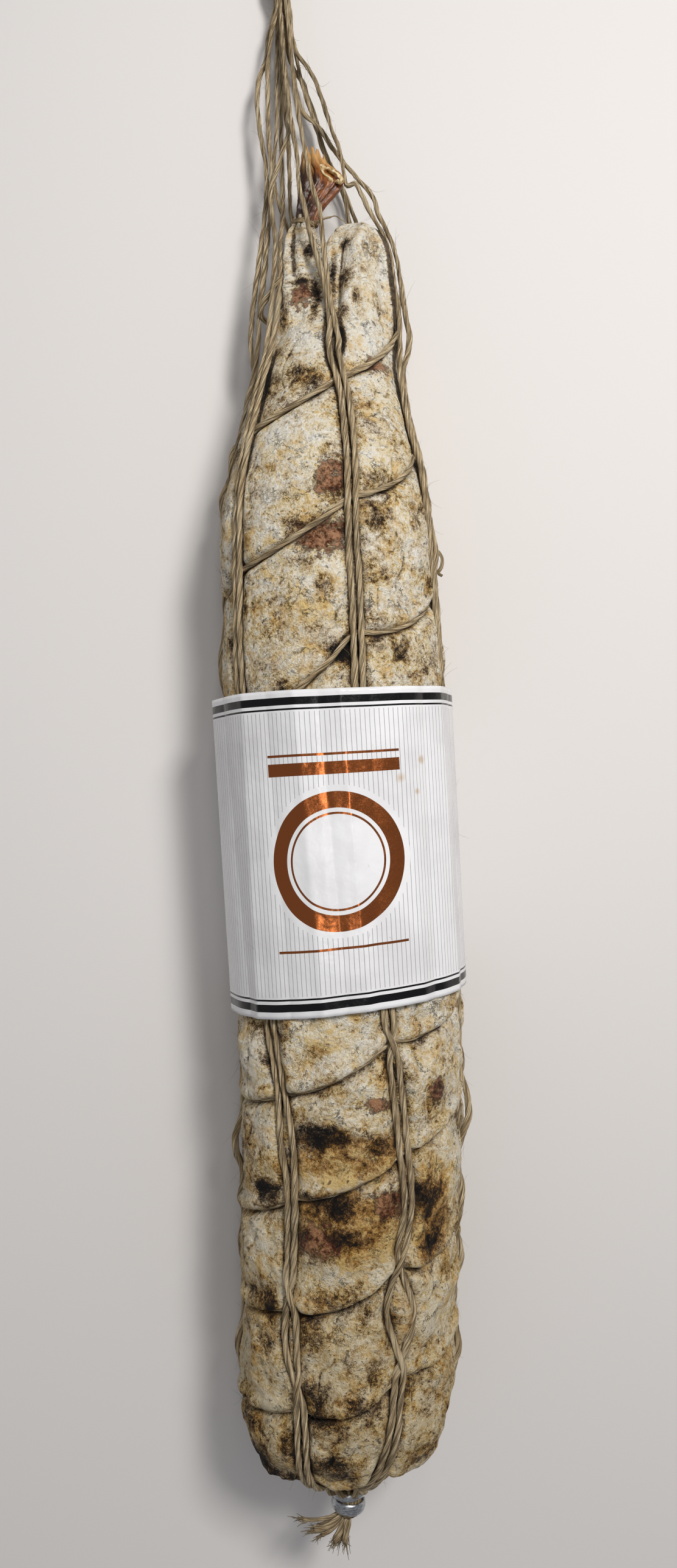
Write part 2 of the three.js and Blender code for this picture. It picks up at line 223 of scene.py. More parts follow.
# Fibres show about 0.35 mm wide and 8 mm long: 19 to a turn, and 120 to the metre.
fibre_place = add("Mapping", {"Vector": unrolled, "Scale": (120, 19, 1)})
fibres = add("TexNoise", {"Vector": fibre_place, "Scale": 1, "Detail": 3, "Roughness": 0.65})
tone = add(
    "ValToRGB",
    {0: fibres},
    [(0.3, "#2b2116"), (0.41, "#7d694c"), (0.51, "#b29b78"), (0.61, "#d5c4a2"), (0.75, "#efe5cd")],
)
# Each ply is a third of the turn, and painted shade darkens the crease between two plies.
across = add("SeparateXYZ", {0: unrolled}, out=1)
ply = add("Math", {0: across, 1: 2 * math.pi * TWINE_PLIES}, operation="MULTIPLY")
ply_height = add("Math", {0: ply}, operation="COSINE")
# Stretches of 10 to 20 mm are darker where they stayed damp, or paler with mould.
stretch = add("TexNoise", {"Vector": place, "Scale": 90, "Detail": 3, "Roughness": 0.6})
for source, low, high, strong, colour in (
    (ply_height, -0.5, -1.0, 0.6, "#2c2012"),
    (stretch, 0.5, 0.68, 0.55, "#54452f"),
    (stretch, 0.46, 0.3, 0.4, "#cabb9c"),
):
    share = add("MapRange", {0: source, 1: low, 2: high, 4: strong})
    tone = add("Mix", {0: share, 6: tone, 7: linear(colour)}, data_type="RGBA", out=2)
relief = add("Bump", {"Height": fibres, "Strength": 0.9, "Distance": 0.0006})
join(shader, {"Base Color": tone, "Normal": relief, "Roughness": 0.88, "Specular IOR Level": 0.25})

knot_top = np.array([KNOT["x"], KNOT["start"] + KNOT["length"], KNOT["z"]])
loop_line = smooth_line(knot_top + np.array(LOOP_FROM_KNOT))
loop_solid = Solid()
lay_twine(loop_solid, loop_line, 900)
hanging_loop = make_piece("hanging_loop", loop_solid, hemp_twine, "hemp_twine", "hanging_loop")

# ---- Where the net runs ----
# Twelve twines in six pairs run the length of the sausage, and two more wind round it under
# them. The casing bulges between them, so the net is laid out before the casing is shaped.

AXIS_Z = 37.5
# The casing at the bottom of the grooves: y, half width, centre x, centre z, half height.
CASING = [
    (-236.6, 3.2, 3.4, 37.5, 3.2), (-232.8, 3.6, 2.6, 37.5, 3.6), (-231.4, 6, 1.8, 37.5, 6),
    (-230.2, 10, 1.0, 37.5, 10), (-227.4, 17, 0.6, 37.5, 17), (-221.5, 24.5, 0.8, 37.5, 24.5),
    (-212.5, 29.8, 1.6, 37.5, 29.8), (-200, 32.4, 2.8, 36.9, 32.4), (-169, 33, 3.6, 36.5, 33),
    (-127, 33.5, 4, 37, 33.5), (-86, 34, 4, 37.5, 34), (-23, 34, 0.8, 37.5, 34),
    (39, 34, -1.6, 37.5, 34), (60, 33.5, -2.5, 37, 33.5), (81, 33, -3.5, 36.5, 33),
    (102, 31.1, -3.7, 34.9, 31.1), (124, 26.6, -4, 31.3, 26.6), (142, 23.3, -3.2, 28.8, 23.5),
    (150, 21.8, -1.4, 27.8, 22), (158, 19.8, 1.0, 26.8, 20.4), (165, 17.2, 3.4, 26, 18.8),
    (174, 14.2, 5.0, 25.4, 16.4), (183, 12.3, 5.6, 24.8, 14), (188, 11.2, 5.9, 24.6, 12.2),
    (191.6, 9.3, 6.3, 24.5, 9.8), (194.2, 6.6, 6.8, 24.5, 6.8), (195.8, 3.8, 7.2, 24.5, 4),
    (196.4, 1.4, 7.2, 24.5, 1.6),
]
# How far the casing stands out between the twines, along its length.
BULGE = [
    (-237, 0.8), (-230, 1.6), (-222, 3.2), (-206, 4.8), (-90, 4.8), (-60, 4.2), (70, 4.2),
    (102, 3.4), (124, 2.4), (141, 1.5), (158, 0.9), (180, 0.6), (197, 0.4),
]
FULL_BULGE = 4.2
# Each wale: its route round the sausage as (y, degrees from the top), where the winding twines
# pass under it, and where its two twines cross.
WALES = [
    {
        "route": [(-200, -90), (120, -93)],
        "passes": [-218, -203, -172, -141, -104, -69, -31, 8, 62, 113, 158],
        "swaps": [-141, 113],
    },
    {
        "route": [(-210, -24), (-193, -26), (-178, -31), (-130, -31.5), (-109, -34), (-92, -38.5),
                  (-75, -44), (40, -56), (130, -54), (162, -50), (186, -44)],
        "passes": [-222, -197, -166, -131, -98, -62, -22, 17, 69, 117],
        "swaps": [-191, -160],
    },
    {
        "route": [(-210, 25.5), (-181, 27), (-152, 24.7), (-132, 29.5), (-112, 27), (-91, 22),
                  (-72, 18), (40, 12), (120, 13), (148, -1), (162, -4), (186, -13)],
        "passes": [-220, -187, -152, -116, -81, -44, -1, 47, 90, 132],
        "swaps": [-182, -150, -81],
    },
    {
        "route": [(-200, 85), (-80, 82), (40, 75), (120, 70)],
        "passes": [-211, -178, -143, -102, -68, -29, 17, 63, 110, 155],
        "swaps": [-143, -94],
    },
    {
        "route": [(-200, 150), (120, 150)],
        "passes": [-200, -166, -130, -91, -56, -17, 32, 80, 126],
        "swaps": [-166, -91, 80],
    },
    {
        "route": [(-200, 210), (120, 210)],
        "passes": [-186, -153, -117, -80, -43, -4, 47, 96, 142],
        "swaps": [-117, 47],
    },
]
# Places where a pair opens into an eye, and where one twine stands off the casing:
# wale, twine, y, half length, extra half gap, extra height.
LOOSE_PLACES = [
    (2, 0, -166, 15, 3.4, 0), (2, 1, -166, 15, 3.4, 0.4), (1, 0, -175, 12, 0.9, 0),
    (1, 1, -175, 12, 0.9, 0), (1, 0, -112, 18, 0.9, 0.2), (1, 1, -112, 18, 0.9, 0.2),
    (1, 1, -80, 14, 1.0, 0.3), (0, 0, -122, 12, 0.6, 3.2), (0, 1, -190, 10, 0.4, 2.0),
    (0, 0, -157, 9, 0.3, 1.6), (3, 1, -109, 17, 0.8, 3.8), (3, 0, -136, 8, 0.8, 1.6),
    (3, 1, -160, 10, 0.6, 2.4), (3, 0, -190, 12, 0.5, 2.2), (0, 1, 97, 14, 0.6, 2.6),
    (0, 0, 40, 14, 0.4, 1.6), (3, 1, 78, 10, 0.4, 1.4), (4, 0, -60, 14, 1.6, 0.6),
]
WELT_LIFT = 2.75  # height of a long twine's middle above the bottom of the grooves
WEFT_LIFT = 1.0  # the same for a winding twine
PAIR_HALF_GAP = 1.35
COLLAR = {"x": 3.4, "radius": 4.5, "y": -239.6}
# Past the thin end each twine runs free to the knot: its places from the last one that lies on
# the casing, as x, y, z.
FREE_RUNS = [
    [(-31, 156, 25), (-30, 169, 25), (-28.5, 181, 24), (-27, 195, 22), (-26, 206, 20),
     (-26, 221, 17), (-28.5, 237, 14), (-29.5, 251, 13), (-28.5, 258, 12), (-26.5, 264, 11),
     (-26, 271, 10), (-24, 281, 9), (-23, 289, 8)],
    [(-28, 154, 30), (-27.5, 166, 29), (-26, 180, 27), (-25, 194, 24), (-24, 205, 22),
     (-24, 218, 20), (-25, 231, 18), (-25.5, 248, 16), (-25.5, 260, 15), (-24.5, 272, 13),
     (-22.5, 286, 11)],
    [(-22.5, 169, 37), (-22, 180, 34), (-22, 189, 31), (-23, 198, 28), (-24, 209, 25),
     (-22, 217, 23), (-20, 225, 21), (-18, 234, 18), (-19, 240, 15), (-19.5, 254, 12),
     (-21, 267, 10), (-22.5, 286, 9)],
    [(-20, 170, 37), (-20, 180, 33), (-20.5, 190, 26), (-20, 204, 18), (-20.5, 222, 13),
     (-21, 236, 10), (-21, 259, 7), (-22, 288, 6)],
    [(-3, 155, 49.5), (-5, 168, 47), (-7.5, 178, 44.5), (-10, 188, 41), (-11.5, 197, 37),
     (-13.5, 206, 33), (-14.5, 220, 28), (-16, 230, 24), (-18, 245, 20), (-19.5, 259, 17),
     (-21, 280, 13), (-21.5, 289, 11)],
    [(0, 146, 52.5), (-2.5, 159, 49.5), (-4, 171, 46.5), (-5.5, 186, 42), (-6.5, 196, 39),
     (-8.5, 203, 36), (-11, 216, 32), (-13, 229, 27), (-15.5, 246, 22), (-17.5, 267, 17),
     (-19.5, 286, 13)],
    [(21, 152, 36), (20.5, 164, 35), (19, 173, 33), (17.6, 185, 30), (15.5, 192, 29),
     (12, 199, 27), (8, 208, 25), (5.6, 212.4, 24), (3.4, 212, 23), (2, 217, 22), (0.5, 226, 20),
     (-2.5, 235, 18), (-5, 244, 16), (-9.5, 257, 14), (-15.5, 267, 12), (-18.5, 287, 10)],
    [(24.5, 153, 34), (22.8, 164, 33), (21.6, 174, 31), (19.8, 186, 28), (16.8, 195, 26),
     (14.5, 200, 25), (12, 209, 22), (7.5, 216, 19), (2, 224, 16), (-2.5, 231, 14),
     (-8, 240, 12), (-12, 244, 11), (-16.5, 261, 9), (-19, 287, 8)],
    [(4.5, 205, 7.5), (1.5, 218, 7), (-2.5, 226, 8), (-5, 232, 9), (-8, 240, 9.5), (-10.5, 248, 9),
     (-14, 260, 8), (-16.5, 273, 7), (-19.5, 285, 6)],
    [(7, 206, 6), (2.6, 218, 5), (-1, 226, 5), (-6, 235, 6), (-8, 244, 7), (-11.5, 254, 7),
     (-13, 259, 6), (-16.5, 264, 6), (-20, 286, 5)],
    [(-16.5, 198, 11), (-19.5, 204, 15), (-22.4, 211, 18), (-23.4, 221, 16), (-22.6, 236, 13),
     (-22.5, 260, 10), (-22.8, 288, 7)],
    [(-17, 207, 9), (-18, 224, 8), (-18.5, 241, 7), (-18.5, 252, 7), (-21.5, 279, 6),
     (-22, 289, 6)],
]


def read_table(table, at, column=1):
    """A column of a table at each place in at, along a smooth curve that doesn't overshoot."""
    rows = np.array(table, float)
    x, y = rows[:, 0], rows[:, column]
    step = np.diff(x)
    slope = np.diff(y) / step
    product = slope[:-1] * slope[1:]
    total = slope[:-1] + slope[1:]
    inner = np.where(product > 0, 2 * product / np.where(total == 0, 1, total), 0)
    tangent = np.concatenate([slope[:1], inner, slope[-1:]])
    at = np.clip(np.asarray(at, float), x[0], x[-1])
    i = np.clip(np.searchsorted(x, at, side="right") - 1, 0, len(step) - 1)
    t = (at - x[i]) / step[i]
    start = y[i] * (1 + 2 * t) + step[i] * tangent[i] * t
    end = y[i + 1] * (3 - 2 * t) + step[i] * tangent[i + 1] * (t - 1)
    return start * (1 - t) ** 2 + end * t**2


def over_casing(y, degrees, lift):
    """Points lifted square off the casing, at degrees from the top."""
    y, turn = np.asarray(y, float), np.radians(degrees)
    step = 0.4
    wider = read_table(CASING, y + step) - read_table(CASING, y - step)
    slope = wider / (2 * step)
    flat = 1 / np.hypot(1, slope)
    x = read_table(CASING, y, 2) + (read_table(CASING, y) + lift * flat) * np.sin(turn)
    z = read_table(CASING, y, 3) + (read_table(CASING, y, 4) + lift * flat) * np.cos(turn)
    return np.stack([x, y - lift * slope * flat, z], axis=-1)


def swell(distance, half_length):
    """1 at nought, falling smoothly to 0 at half_length."""
    t = np.clip(1 - np.abs(distance) / half_length, 0, 1)
    return t * t * (3 - 2 * t)


def long_twine_line(w, side):
    wale, seed = WALES[w], 40 + 2 * w + side
    last = 186 if w > 3 else 140
    y = np.concatenate([[-229.9, -227.4, -223.5, -218, -212], np.arange(-206, last, 5.0)])
    sign = (-1 if side == 0 else 1) * np.ones(len(y))
    for swap in wale["swaps"]:
        sign *= np.tanh((y - swap) / 3.0)
    gap = PAIR_HALF_GAP * (1 + 0.18 * slow_noise(len(y), 2.5, seed)) * sign
    lift = WELT_LIFT + 0.12 * slow_noise(len(y), 3, seed + 50)
    # The upper of two crossing twines rides over the lower one.
    for swap in wale["swaps"]:
        lift += (1.5 if side == 0 else 0.0) * swell(y - swap, 7)
    for where, twine, middle, half_length, wider, higher in LOOSE_PLACES:
        if where == w and twine == side:
            gap += np.sign(sign) * wider * swell(y - middle, half_length)
            lift += higher * swell(y - middle, half_length)
    wander = 0.5 * slow_noise(len(y), 4, 70 + w)
    across = read_table(CASING, y) + lift
    turn = read_table(wale["route"], y) + np.degrees((gap + wander) / across)
    on_casing = over_casing(y, turn, lift)
    even = math.radians(-90 + 60 * w + (15 if side else -15))
    out = np.array([math.sin(even), 0, math.cos(even)])
    foot = np.array([COLLAR["x"], COLLAR["y"], AXIS_Z])
    start = [foot + out * (COLLAR["radius"] + 0.4), foot + out * (COLLAR["radius"] + 2.8)]
    start[1][1] += 0.8
    end = np.array([KNOT["x"], KNOT["start"], KNOT["z"]]) + out * 2.6
    inside = end + np.array([0, 4.0, 0]) - out * 0.6
    free = np.array(FREE_RUNS[2 * w + side], float)
    return smooth_line(np.vstack([start, on_casing, free, [end], [inside]]))


def winding_twine_line(first_level):
    """A twine that winds up the sausage and passes the six wales in turn."""
    passes = []
    for level in range(first_level, len(WALES[0]["passes"]), 2):
        for wale in WALES:
            if level < len(wale["passes"]):
                y = wale["passes"][level]
                turns = 360 * ((level - first_level) // 2)
                passes.append((y, float(read_table(wale["route"], y)) + turns))
    sags = np.random.default_rng(7 + first_level).uniform(1.5, 4.5, len(passes))
    y, turn = [], []
    for (y0, a0), (y1, a1), sag in zip(passes, passes[1:], sags):
        for t in (0, 0.2, 0.5, 0.8):
            y.append(y0 + (y1 - y0) * t - 4 * sag * t * (1 - t))
            turn.append(a0 + (a1 - a0) * t)
    y.append(passes[-1][0])
    turn.append(passes[-1][1])
    line = over_casing(y, turn, WEFT_LIFT)
    if first_level == 0:
        # Its end is knotted round the second wale where the casing gathers.
        line = np.vstack([line, [(-27, 163, 31), (-22.5, 170, 36), (-20, 173, 37)]])
    return smooth_line(line)


long_lines = [long_twine_line(w, side) for w in range(6) for side in (0, 1)]
winding_lines = [winding_twine_line(0), winding_twine_line(1)]


def tree_of(lines):
    points = np.vstack(lines)
    tree = kdtree.KDTree(len(points))
    for i, p in enumerate(points):
        tree.insert(p, i)
    tree.balance()
    return tree


long_tree, winding_tree = tree_of(long_lines), tree_of(winding_lines)

# ---- The salami ----
# Cured pork in a natural gut casing, dried and grown over with white mould. It is stuffed,
# netted while soft, and hung, so it bulges through the net and sags over each winding twine.

COARSE = 1
GROOVE_FLOOR = 1.9  # the casing under a long twine stands this much over the grooves' bottom
TABLE_CLEARANCE = 0.35
# Marks on the casing, as x, y, half width, half height, strength, seen from the top.
BARE_MARKS = [
    (-12.5, 165, 3.8, 5.4, 1), (-2.6, 96.5, 5.4, 6.4, 1), (-5, 77.5, 9.8, 5.8, 1),
    (12.5, 139, 4.2, 3.4, 0.8), (15.5, -131, 4.8, 5.2, 1), (-6.5, -142.5, 7.6, 5.8, 1),
    (31.5, -97.5, 2.8, 4.6, 0.9), (11.5, -99.4, 6, 2.4, 0.8), (8, 55, 3, 2, 0.4),
]
OCHRE_MARKS = [
    (3, -117, 17, 8, 1), (4, -137, 18, 11, 1), (30, -134, 6, 16, 1), (-3, -80, 7, 5, 0.6),
    (-6, 122, 7, 9, 0.2), (-12, 88, 8, 16, 0.22), (-8, 50, 12, 10, 0.3), (12, 68, 6, 8, 0.2),
    (5, -175, 12, 9, 0.2), (12, 118, 8, 14, 0.1), (-18, 60, 6, 14, 0.3), (0, -190, 14, 12, 0.2),
]
DARK_MARKS = [
    (-5, -109.5, 9.5, 3.6, 1), (-22.5, -130.5, 3.4, 3.4, 1), (-22, -164.5, 3, 7, 1),
    (1.5, 41, 5.5, 3.8, 1), (-2, -131, 10, 4, 0.8), (-7, 131, 5, 2.8, 0.8),
    (-7.6, 163, 1.7, 6.4, 1), (-9.6, 183.6, 2.8, 2.6, 1), (-14.6, 170.4, 4.6, 1.1, 0.9),
    (2.2, 184, 2, 2.6, 0.8), (12.4, 184, 2.4, 4.4, 0.6), (2.4, 170, 2, 3.4, 0.8),
    (5.8, 163, 1.6, 3.4, 1), (1.6, 157, 1.6, 2.6, 0.95), (0.8, 147, 1, 6, 0.9),
    (-1.8, 172, 1, 12, 0.9), (-18.6, 158, 1.8, 8, 0.6), (-12, 186, 2, 4, 0.5),
    (11, 66, 6, 3, 0.55), (-7, -83.5, 3, 2.6, 0.6), (-18, -80, 4, 5, 0.45), (4, -141, 6, 3, 0.7),
    (29, -129, 5, 4, 0.7), (29, -147, 4, 4, 0.7), (-9, -195, 7, 8, 0.7), (-4, -216, 10, 7, 0.7),
    (-14, -206, 5, 5, 0.8), (-8, -172, 4, 6, 0.7), (-26, -163, 3, 6, 0.9), (14, -230, 8, 5, 0.8),
    (-28, -206, 4, 8, 0.6), (13, -112, 5, 4, 0.7), (-22, 132, 3, 4, 0.7), (-5, 61, 3, 5, 0.6),
    # The marks at (-19, -229) and (-27, -221) on the next line are painted shade on the lower left
    # of the blunt end.
    (-12, 134, 7, 3, 0.5), (-19, -229, 9, 8, 1.15), (-27, -221, 6, 9, 1.0),
    (3, -233, 16, 2.4, 0.8), (26, -216, 6, 5, 0.4), (-9, 68, 6, 3, 0.5), (12, 84, 5, 4, 0.5),
    (13, 98, 7, 3, 0.3), (-15, 108, 5, 4, 0.4),
]
PALE_MARKS = [
    (-14, 112, 8, 9, 0.8), (10, 106, 8, 5, 1), (-2, -124.5, 14, 2.6, 1), (6, -152, 14, 3, 0.9),
    (-27, -100, 6, 14, 0.7), (-27, -150, 6, 10, 0.8), (9, 60, 9, 8, 0.6), (4, 158, 6, 12, 0.8),
    (14, 152, 6, 12, 0.7), (-22, -185, 8, 6, 0.7), (8, -90, 12, 6, 0.4), (26, -80, 8, 12, 0.6),
    (-10, 148, 9, 10, 0.8), (30, -170, 5, 10, 0.4), (-2, 66, 12, 3, 0.9), (6, 176, 5, 9, 0.6),
    (8, 174, 12, 24, 0.9), (-12, 150, 10, 12, 0.8), (-14, 176, 8, 14, 0.5),
    (-4, -100, 10, 6, 0.5), (6, -184, 10, 3, 0.5), (0, -208, 14, 3, 0.5), (-2, -84, 16, 10, 0.9),
    (-22, -110, 8, 8, 0.8), (-24, -196, 8, 8, 0.8),
]


def marks_at(points, front):
    """How strongly each point is inside the soft oval marks of each kind, on the upper face."""
    painted = []
    for marks in (BARE_MARKS, OCHRE_MARKS, DARK_MARKS, PALE_MARKS):
        most = np.zeros(len(points))
        for middle_x, middle_y, half_x, half_y, strength in marks:
            aside, along = points[:, 0] - middle_x, points[:, 1] - middle_y
            away = np.hypot(aside / half_x, along / half_y)
            most = np.maximum(most, strength * np.clip(1.5 - away, 0, 1))
        painted.append(most * np.clip(front * 3 + 0.6, 0, 1))
    return painted


def nearest(tree, points):
    """How far each point is from the nearest twine, and how far above that twine's place."""
    away, above = np.empty(len(points)), np.empty(len(points))
    for i, p in enumerate(points):
        place, _, distance = tree.find(p)
        away[i], above[i] = distance, p[1] - place[1]
    return away, above


def rough(points, size, seed, octaves=3):
    """Fractal noise of about +-1 at points, with lumps of that size."""
    shift = Vector((seed * 17.3, seed * 5.1, seed * 9.7))
    return np.array([noise.fractal(Vector(p) / size + shift, 0.9, 2.1, octaves) for p in points])


def press_net(points, normals, bulge):
    """Where the casing's points go when it swells between the twines, and their painted shade and
    lip highlight.
    """
    away, _ = nearest(long_tree, points)
    aside = np.sqrt(np.maximum(away**2 - WELT_LIFT**2, 0))
    beside = 0.8 * (1 - np.exp(-((aside / 2.0) ** 2))) + 0.2 * (1 - np.exp(-((aside / 11) ** 2)))
    away, above = nearest(winding_tree, points)
    across = np.sqrt(np.maximum(away**2 - WEFT_LIFT**2, 0))
    # Hanging meat sags over the twine below it, more so lower down, so a groove's upper lip
    # is the steep one and hangs over the twine.
    low_down = np.clip((20 - points[:, 1]) / 100, 0, 1)
    width = np.where(above > 0, 1.15 - 0.3 * low_down, 2.1 - 0.2 * low_down)
    between = 0.75 * (1 - np.exp(-((across / width) ** 2)))
    between += 0.25 * (1 - np.exp(-((across / 11) ** 2)))
    lip = np.where(above > 0, np.exp(-(((across - 2.7) / 1.5) ** 2)), 0)
    floor = GROOVE_FLOOR * bulge / FULL_BULGE
    height = (floor + (bulge - floor) * beside) * between
    free = np.clip(beside * between * 1.4, 0, 1)
    height += (0.5 + 0.9 * low_down) * lip * beside * np.clip(bulge / FULL_BULGE, 0.2, 1)
    height += free * (0.8 + 1.2 * low_down) * rough(points, 19, 1)
    height += free * (0.3 + 0.2 * low_down) * rough(points, 5.5, 2, 4)
    height += (0.3 + 0.7 * free) * 0.2 * rough(points, 2.0, 3, 3)
    # Drying creases: thin broken lines where the skin has folded.
    folding = rough(points * [1.0, 0.55, 1.0], 13, 7, 2)
    where = np.clip((rough(points, 24, 8, 2) + 0.05 + 0.15 * low_down) * 4, 0, 1)
    fold = np.exp(-((folding / 0.05) ** 2)) * where * free
    height -= 0.75 * fold
    # Painted shade: darkest at the bottom of the grooves beside the twines, and in the drying
    # creases.
    shade_and_highlight = 1 - np.clip(np.minimum(beside * 1.2, between * 1.3), 0, 1)
    shade_and_highlight = np.maximum(shade_and_highlight, 0.7 * fold)
    # The lip over a winding twine is painted paler: thicker mould there, and a painted highlight
    # where it bulges out.
    shade_and_highlight -= (0.8 + 1.2 * low_down) * lip * beside
    moved = points + normals * height[:, None]
    overhang = np.where(above > 0, np.exp(-(((across - 1.6) / 1.3) ** 2)), 0)
    moved[:, 1] -= (0.5 + 0.8 * low_down) * overhang * beside * np.clip(bulge / FULL_BULGE, 0, 1)
    low = TABLE_CLEARANCE + 0.9
    squeezed = TABLE_CLEARANCE + 0.9 * np.exp(np.minimum(moved[:, 2] - low, 0) / 0.9)
    moved[:, 2] = np.where(moved[:, 2] < low, squeezed, moved[:, 2])
    return moved, shade_and_highlight


def round_grid(y, turn, middle_x, middle_z, half_width, half_height):
    """Rings of points that run round, one ring for each row of y."""
    x, z = middle_x + half_width * np.sin(turn), middle_z + half_height * np.cos(turn)
    return np.stack(np.broadcast_arrays(x, y, z), axis=-1)


def grid_normals(grid):
    """Outward normals of rings of points that run round and along."""
    round_it = np.roll(grid, -1, axis=1) - np.roll(grid, 1, axis=1)
    along_it = np.gradient(grid, axis=0)
    normal = np.cross(round_it, along_it)
    return normal / np.maximum(np.linalg.norm(normal, axis=2), 1e-9)[..., None]


def add_marks(piece, shade_and_highlight, marks):
    """Stores each point's painted shade (below nought, a painted highlight), and its bare, ochre,
    dark and pale share.
    """
    layer = piece.data.attributes.new("shade_and_highlight", "FLOAT", "POINT")
    layer.data.foreach_set("value", shade_and_highlight.astype(np.float32))
    layer = piece.data.attributes.new("marks", "FLOAT_COLOR", "POINT")
    layer.data.foreach_set("color", np.stack(marks, axis=1).astype(np.float32).ravel())


# Rows stand closer where the casing shows, and further apart under the band.
fine = np.linspace(CASING[0][0], CASING[-1][0], 6000)
width = read_table(CASING, fine)
near_band = (fine > -66) & (fine < 26)
travel = np.hypot(np.diff(fine), np.diff(width)) * np.where(near_band[1:], 0.3, 1)
reach = np.concatenate([[0], np.cumsum(travel)])
ROWS, COLUMNS = 400 // COARSE, 244 // COARSE
row_y = np.interp(np.linspace(0, reach[-1], ROWS), reach, fine)
# Columns stand closer on the upper side: the step is 0.72 of an even one at the top, and 1.28
# at the table.
even = np.linspace(0, 2 * np.pi, COLUMNS, endpoint=False)
column_turn = even - 0.28 * np.sin(even)
rows = row_y[:, None]
half_width, middle_x, middle_z, half_height = [read_table(CASING, rows, k) for k in (1, 2, 3, 4)]
grid = round_grid(rows, column_turn, middle_x, middle_z, half_width, half_height)
# Lengthwise pleats gather the casing towards the thin end.
pleat_depth = 0.9 * np.clip((row_y - 140) / 30, 0, 1) * np.clip((197 - row_y) / 10, 0, 1)
pleats = np.sin(7 * column_turn + 0.6 * np.sin(rows / 9))
pleats += 0.5 * np.sin(13 * column_turn - rows / 14)
outward = grid_normals(grid)
grid = grid + outward * (pleat_depth[:, None] * pleats)[..., None]
outward = grid_normals(grid)
flat_points, flat_normals = grid.reshape(-1, 3), outward.reshape(-1, 3)
bulge = read_table(BULGE, flat_points[:, 1])
moved, shade_and_highlight = press_net(flat_points, flat_normals, bulge)
# One raised lengthwise fold on the rounded end, with a crease along either side.
fold_x = moved[:, 0] - 4.2 - 0.06 * (moved[:, 1] - 170)
fold_end = np.clip((moved[:, 1] - 150) / 8, 0, 1) * np.clip((189 - moved[:, 1]) / 6, 0, 1)
fold_end *= np.clip(flat_normals[:, 2] * 3, 0, 1)
fold_high = 1.5 * np.exp(-((fold_x / 2.6) ** 4))
fold_high -= 0.7 * np.exp(-(((np.abs(fold_x) - 3.6) / 0.7) ** 2))
moved += flat_normals * (fold_end * fold_high)[:, None]
# The crease at the fold's left is darkened with painted shade.
crease_shade = 0.8 * fold_end * np.exp(-(((fold_x + 3.6) / 0.6) ** 2))
shade_and_highlight = np.maximum(shade_and_highlight, crease_shade)
casing_solid = Solid()
casing_solid.tube(moved.reshape(ROWS, COLUMNS, 3), row_y * MM)

# Moulded gut casing: clear collagen skin, dried dark on the meat, under a felt of white mould.
# The felt is chalky where it is thick and worn to dark flecks where it is thin, so one
# thickness drives its colour and its relief.
moulded_casing, shader, add = new_material("moulded_gut_casing")
place = add("TexCoord", out="Object")
shade_and_highlight_in = add("Attribute", attribute_name="shade_and_highlight", out="Fac")
marks_in = add("Attribute", attribute_name="marks", out=None)
split = add("SeparateColor", {0: marks_in.outputs["Color"]}, out=None).outputs
bare_in, ochre_in, dark_in, pale_in = split[0], split[1], split[2], marks_in.outputs["Alpha"]
# Grains 1 mm across, tufts 3 mm, patches 9 mm and clouds 26 mm.
grown = [
    add(
        "TexNoise",
        {"Vector": place, "Scale": 1 / size, "Detail": detail, "Roughness": 0.72,
         "Distortion": swirl},
        out=None,
    )
    for size, detail, swirl in (
        (0.0011, 5, 0.2), (0.003, 4, 0.3), (0.009, 3, 0.4), (0.026, 2, 0.3)
    )
]
grain, tufts, patches, clouds = [noise_node.outputs[0] for noise_node in grown]
# How thin the felt is, about 0, and its thickness, about 0.59.
thin = 0.5 * (0.9 + 1.5 + 0.9)
# Painted shade in the grooves thins the felt there and darkens it, and the lip's painted highlight
# thickens it.
for source, amount in (
    (tufts, -0.9), (patches, -1.5), (clouds, -0.9),
    (dark_in, 0.5), (shade_and_highlight_in, 0.16), (pale_in, -0.18),
):
    thin = add("Math", {0: source, 1: amount, 2: thin}, operation="MULTIPLY_ADD")
felt = 0.59 - 0.5 * 1.05
for source, amount in ((grain, 1.05), (thin, -0.7)):
    felt = add("Math", {0: source, 1: amount, 2: felt}, operation="MULTIPLY_ADD")
tone = add(
    "ValToRGB",
    {0: felt},
    [
        (0.12, "#20160d"), (0.25, "#674f33"), (0.37, "#ab8d65"), (0.48, "#dac094"),
        (0.6, "#f6e5c2"), (0.76, "#fff8e8"),
    ],
)
# Dark flecks about 0.8 mm by 1.8 mm, turned this way and that, where the felt is thin.
bent_place = add(
    "VectorMath",
    {0: grown[1].outputs["Color"], 1: (0.012, 0.012, 0.012), 2: place},
    operation="MULTIPLY_ADD",
)
fleck_place = add("Mapping", {"Vector": bent_place, "Scale": (1300, 560, 1300)})
flecks = add("TexNoise", {"Vector": fleck_place, "Scale": 1, "Detail": 3, "Roughness": 0.6})
# Some of the mould is greyer, some yellow, and at the thin end it is greyer all over.
tint = add("SeparateColor", {0: grown[2].outputs["Color"]}, out=None).outputs
height_up = add("SeparateXYZ", {0: place}, out=1)
richest = add("MapRange", {0: height_up, 1: 0.09, 2: 0.19, 3: 1.2, 4: 0.75})
richness = add("MapRange", {0: tint[1], 1: 0.38, 2: 0.58, 3: 0.7, 4: richest})
tone = add("HueSaturation", {"Saturation": richness, "Color": tone})
yellow = add("MapRange", {0: tint[2], 1: 0.52, 2: 0.64, 4: 0.6})
tone = add(
    "Mix",
    {0: yellow, 6: tone, 7: linear("#efcf88")},
    data_type="RGBA",
    blend_type="MULTIPLY",
    out=2,
)
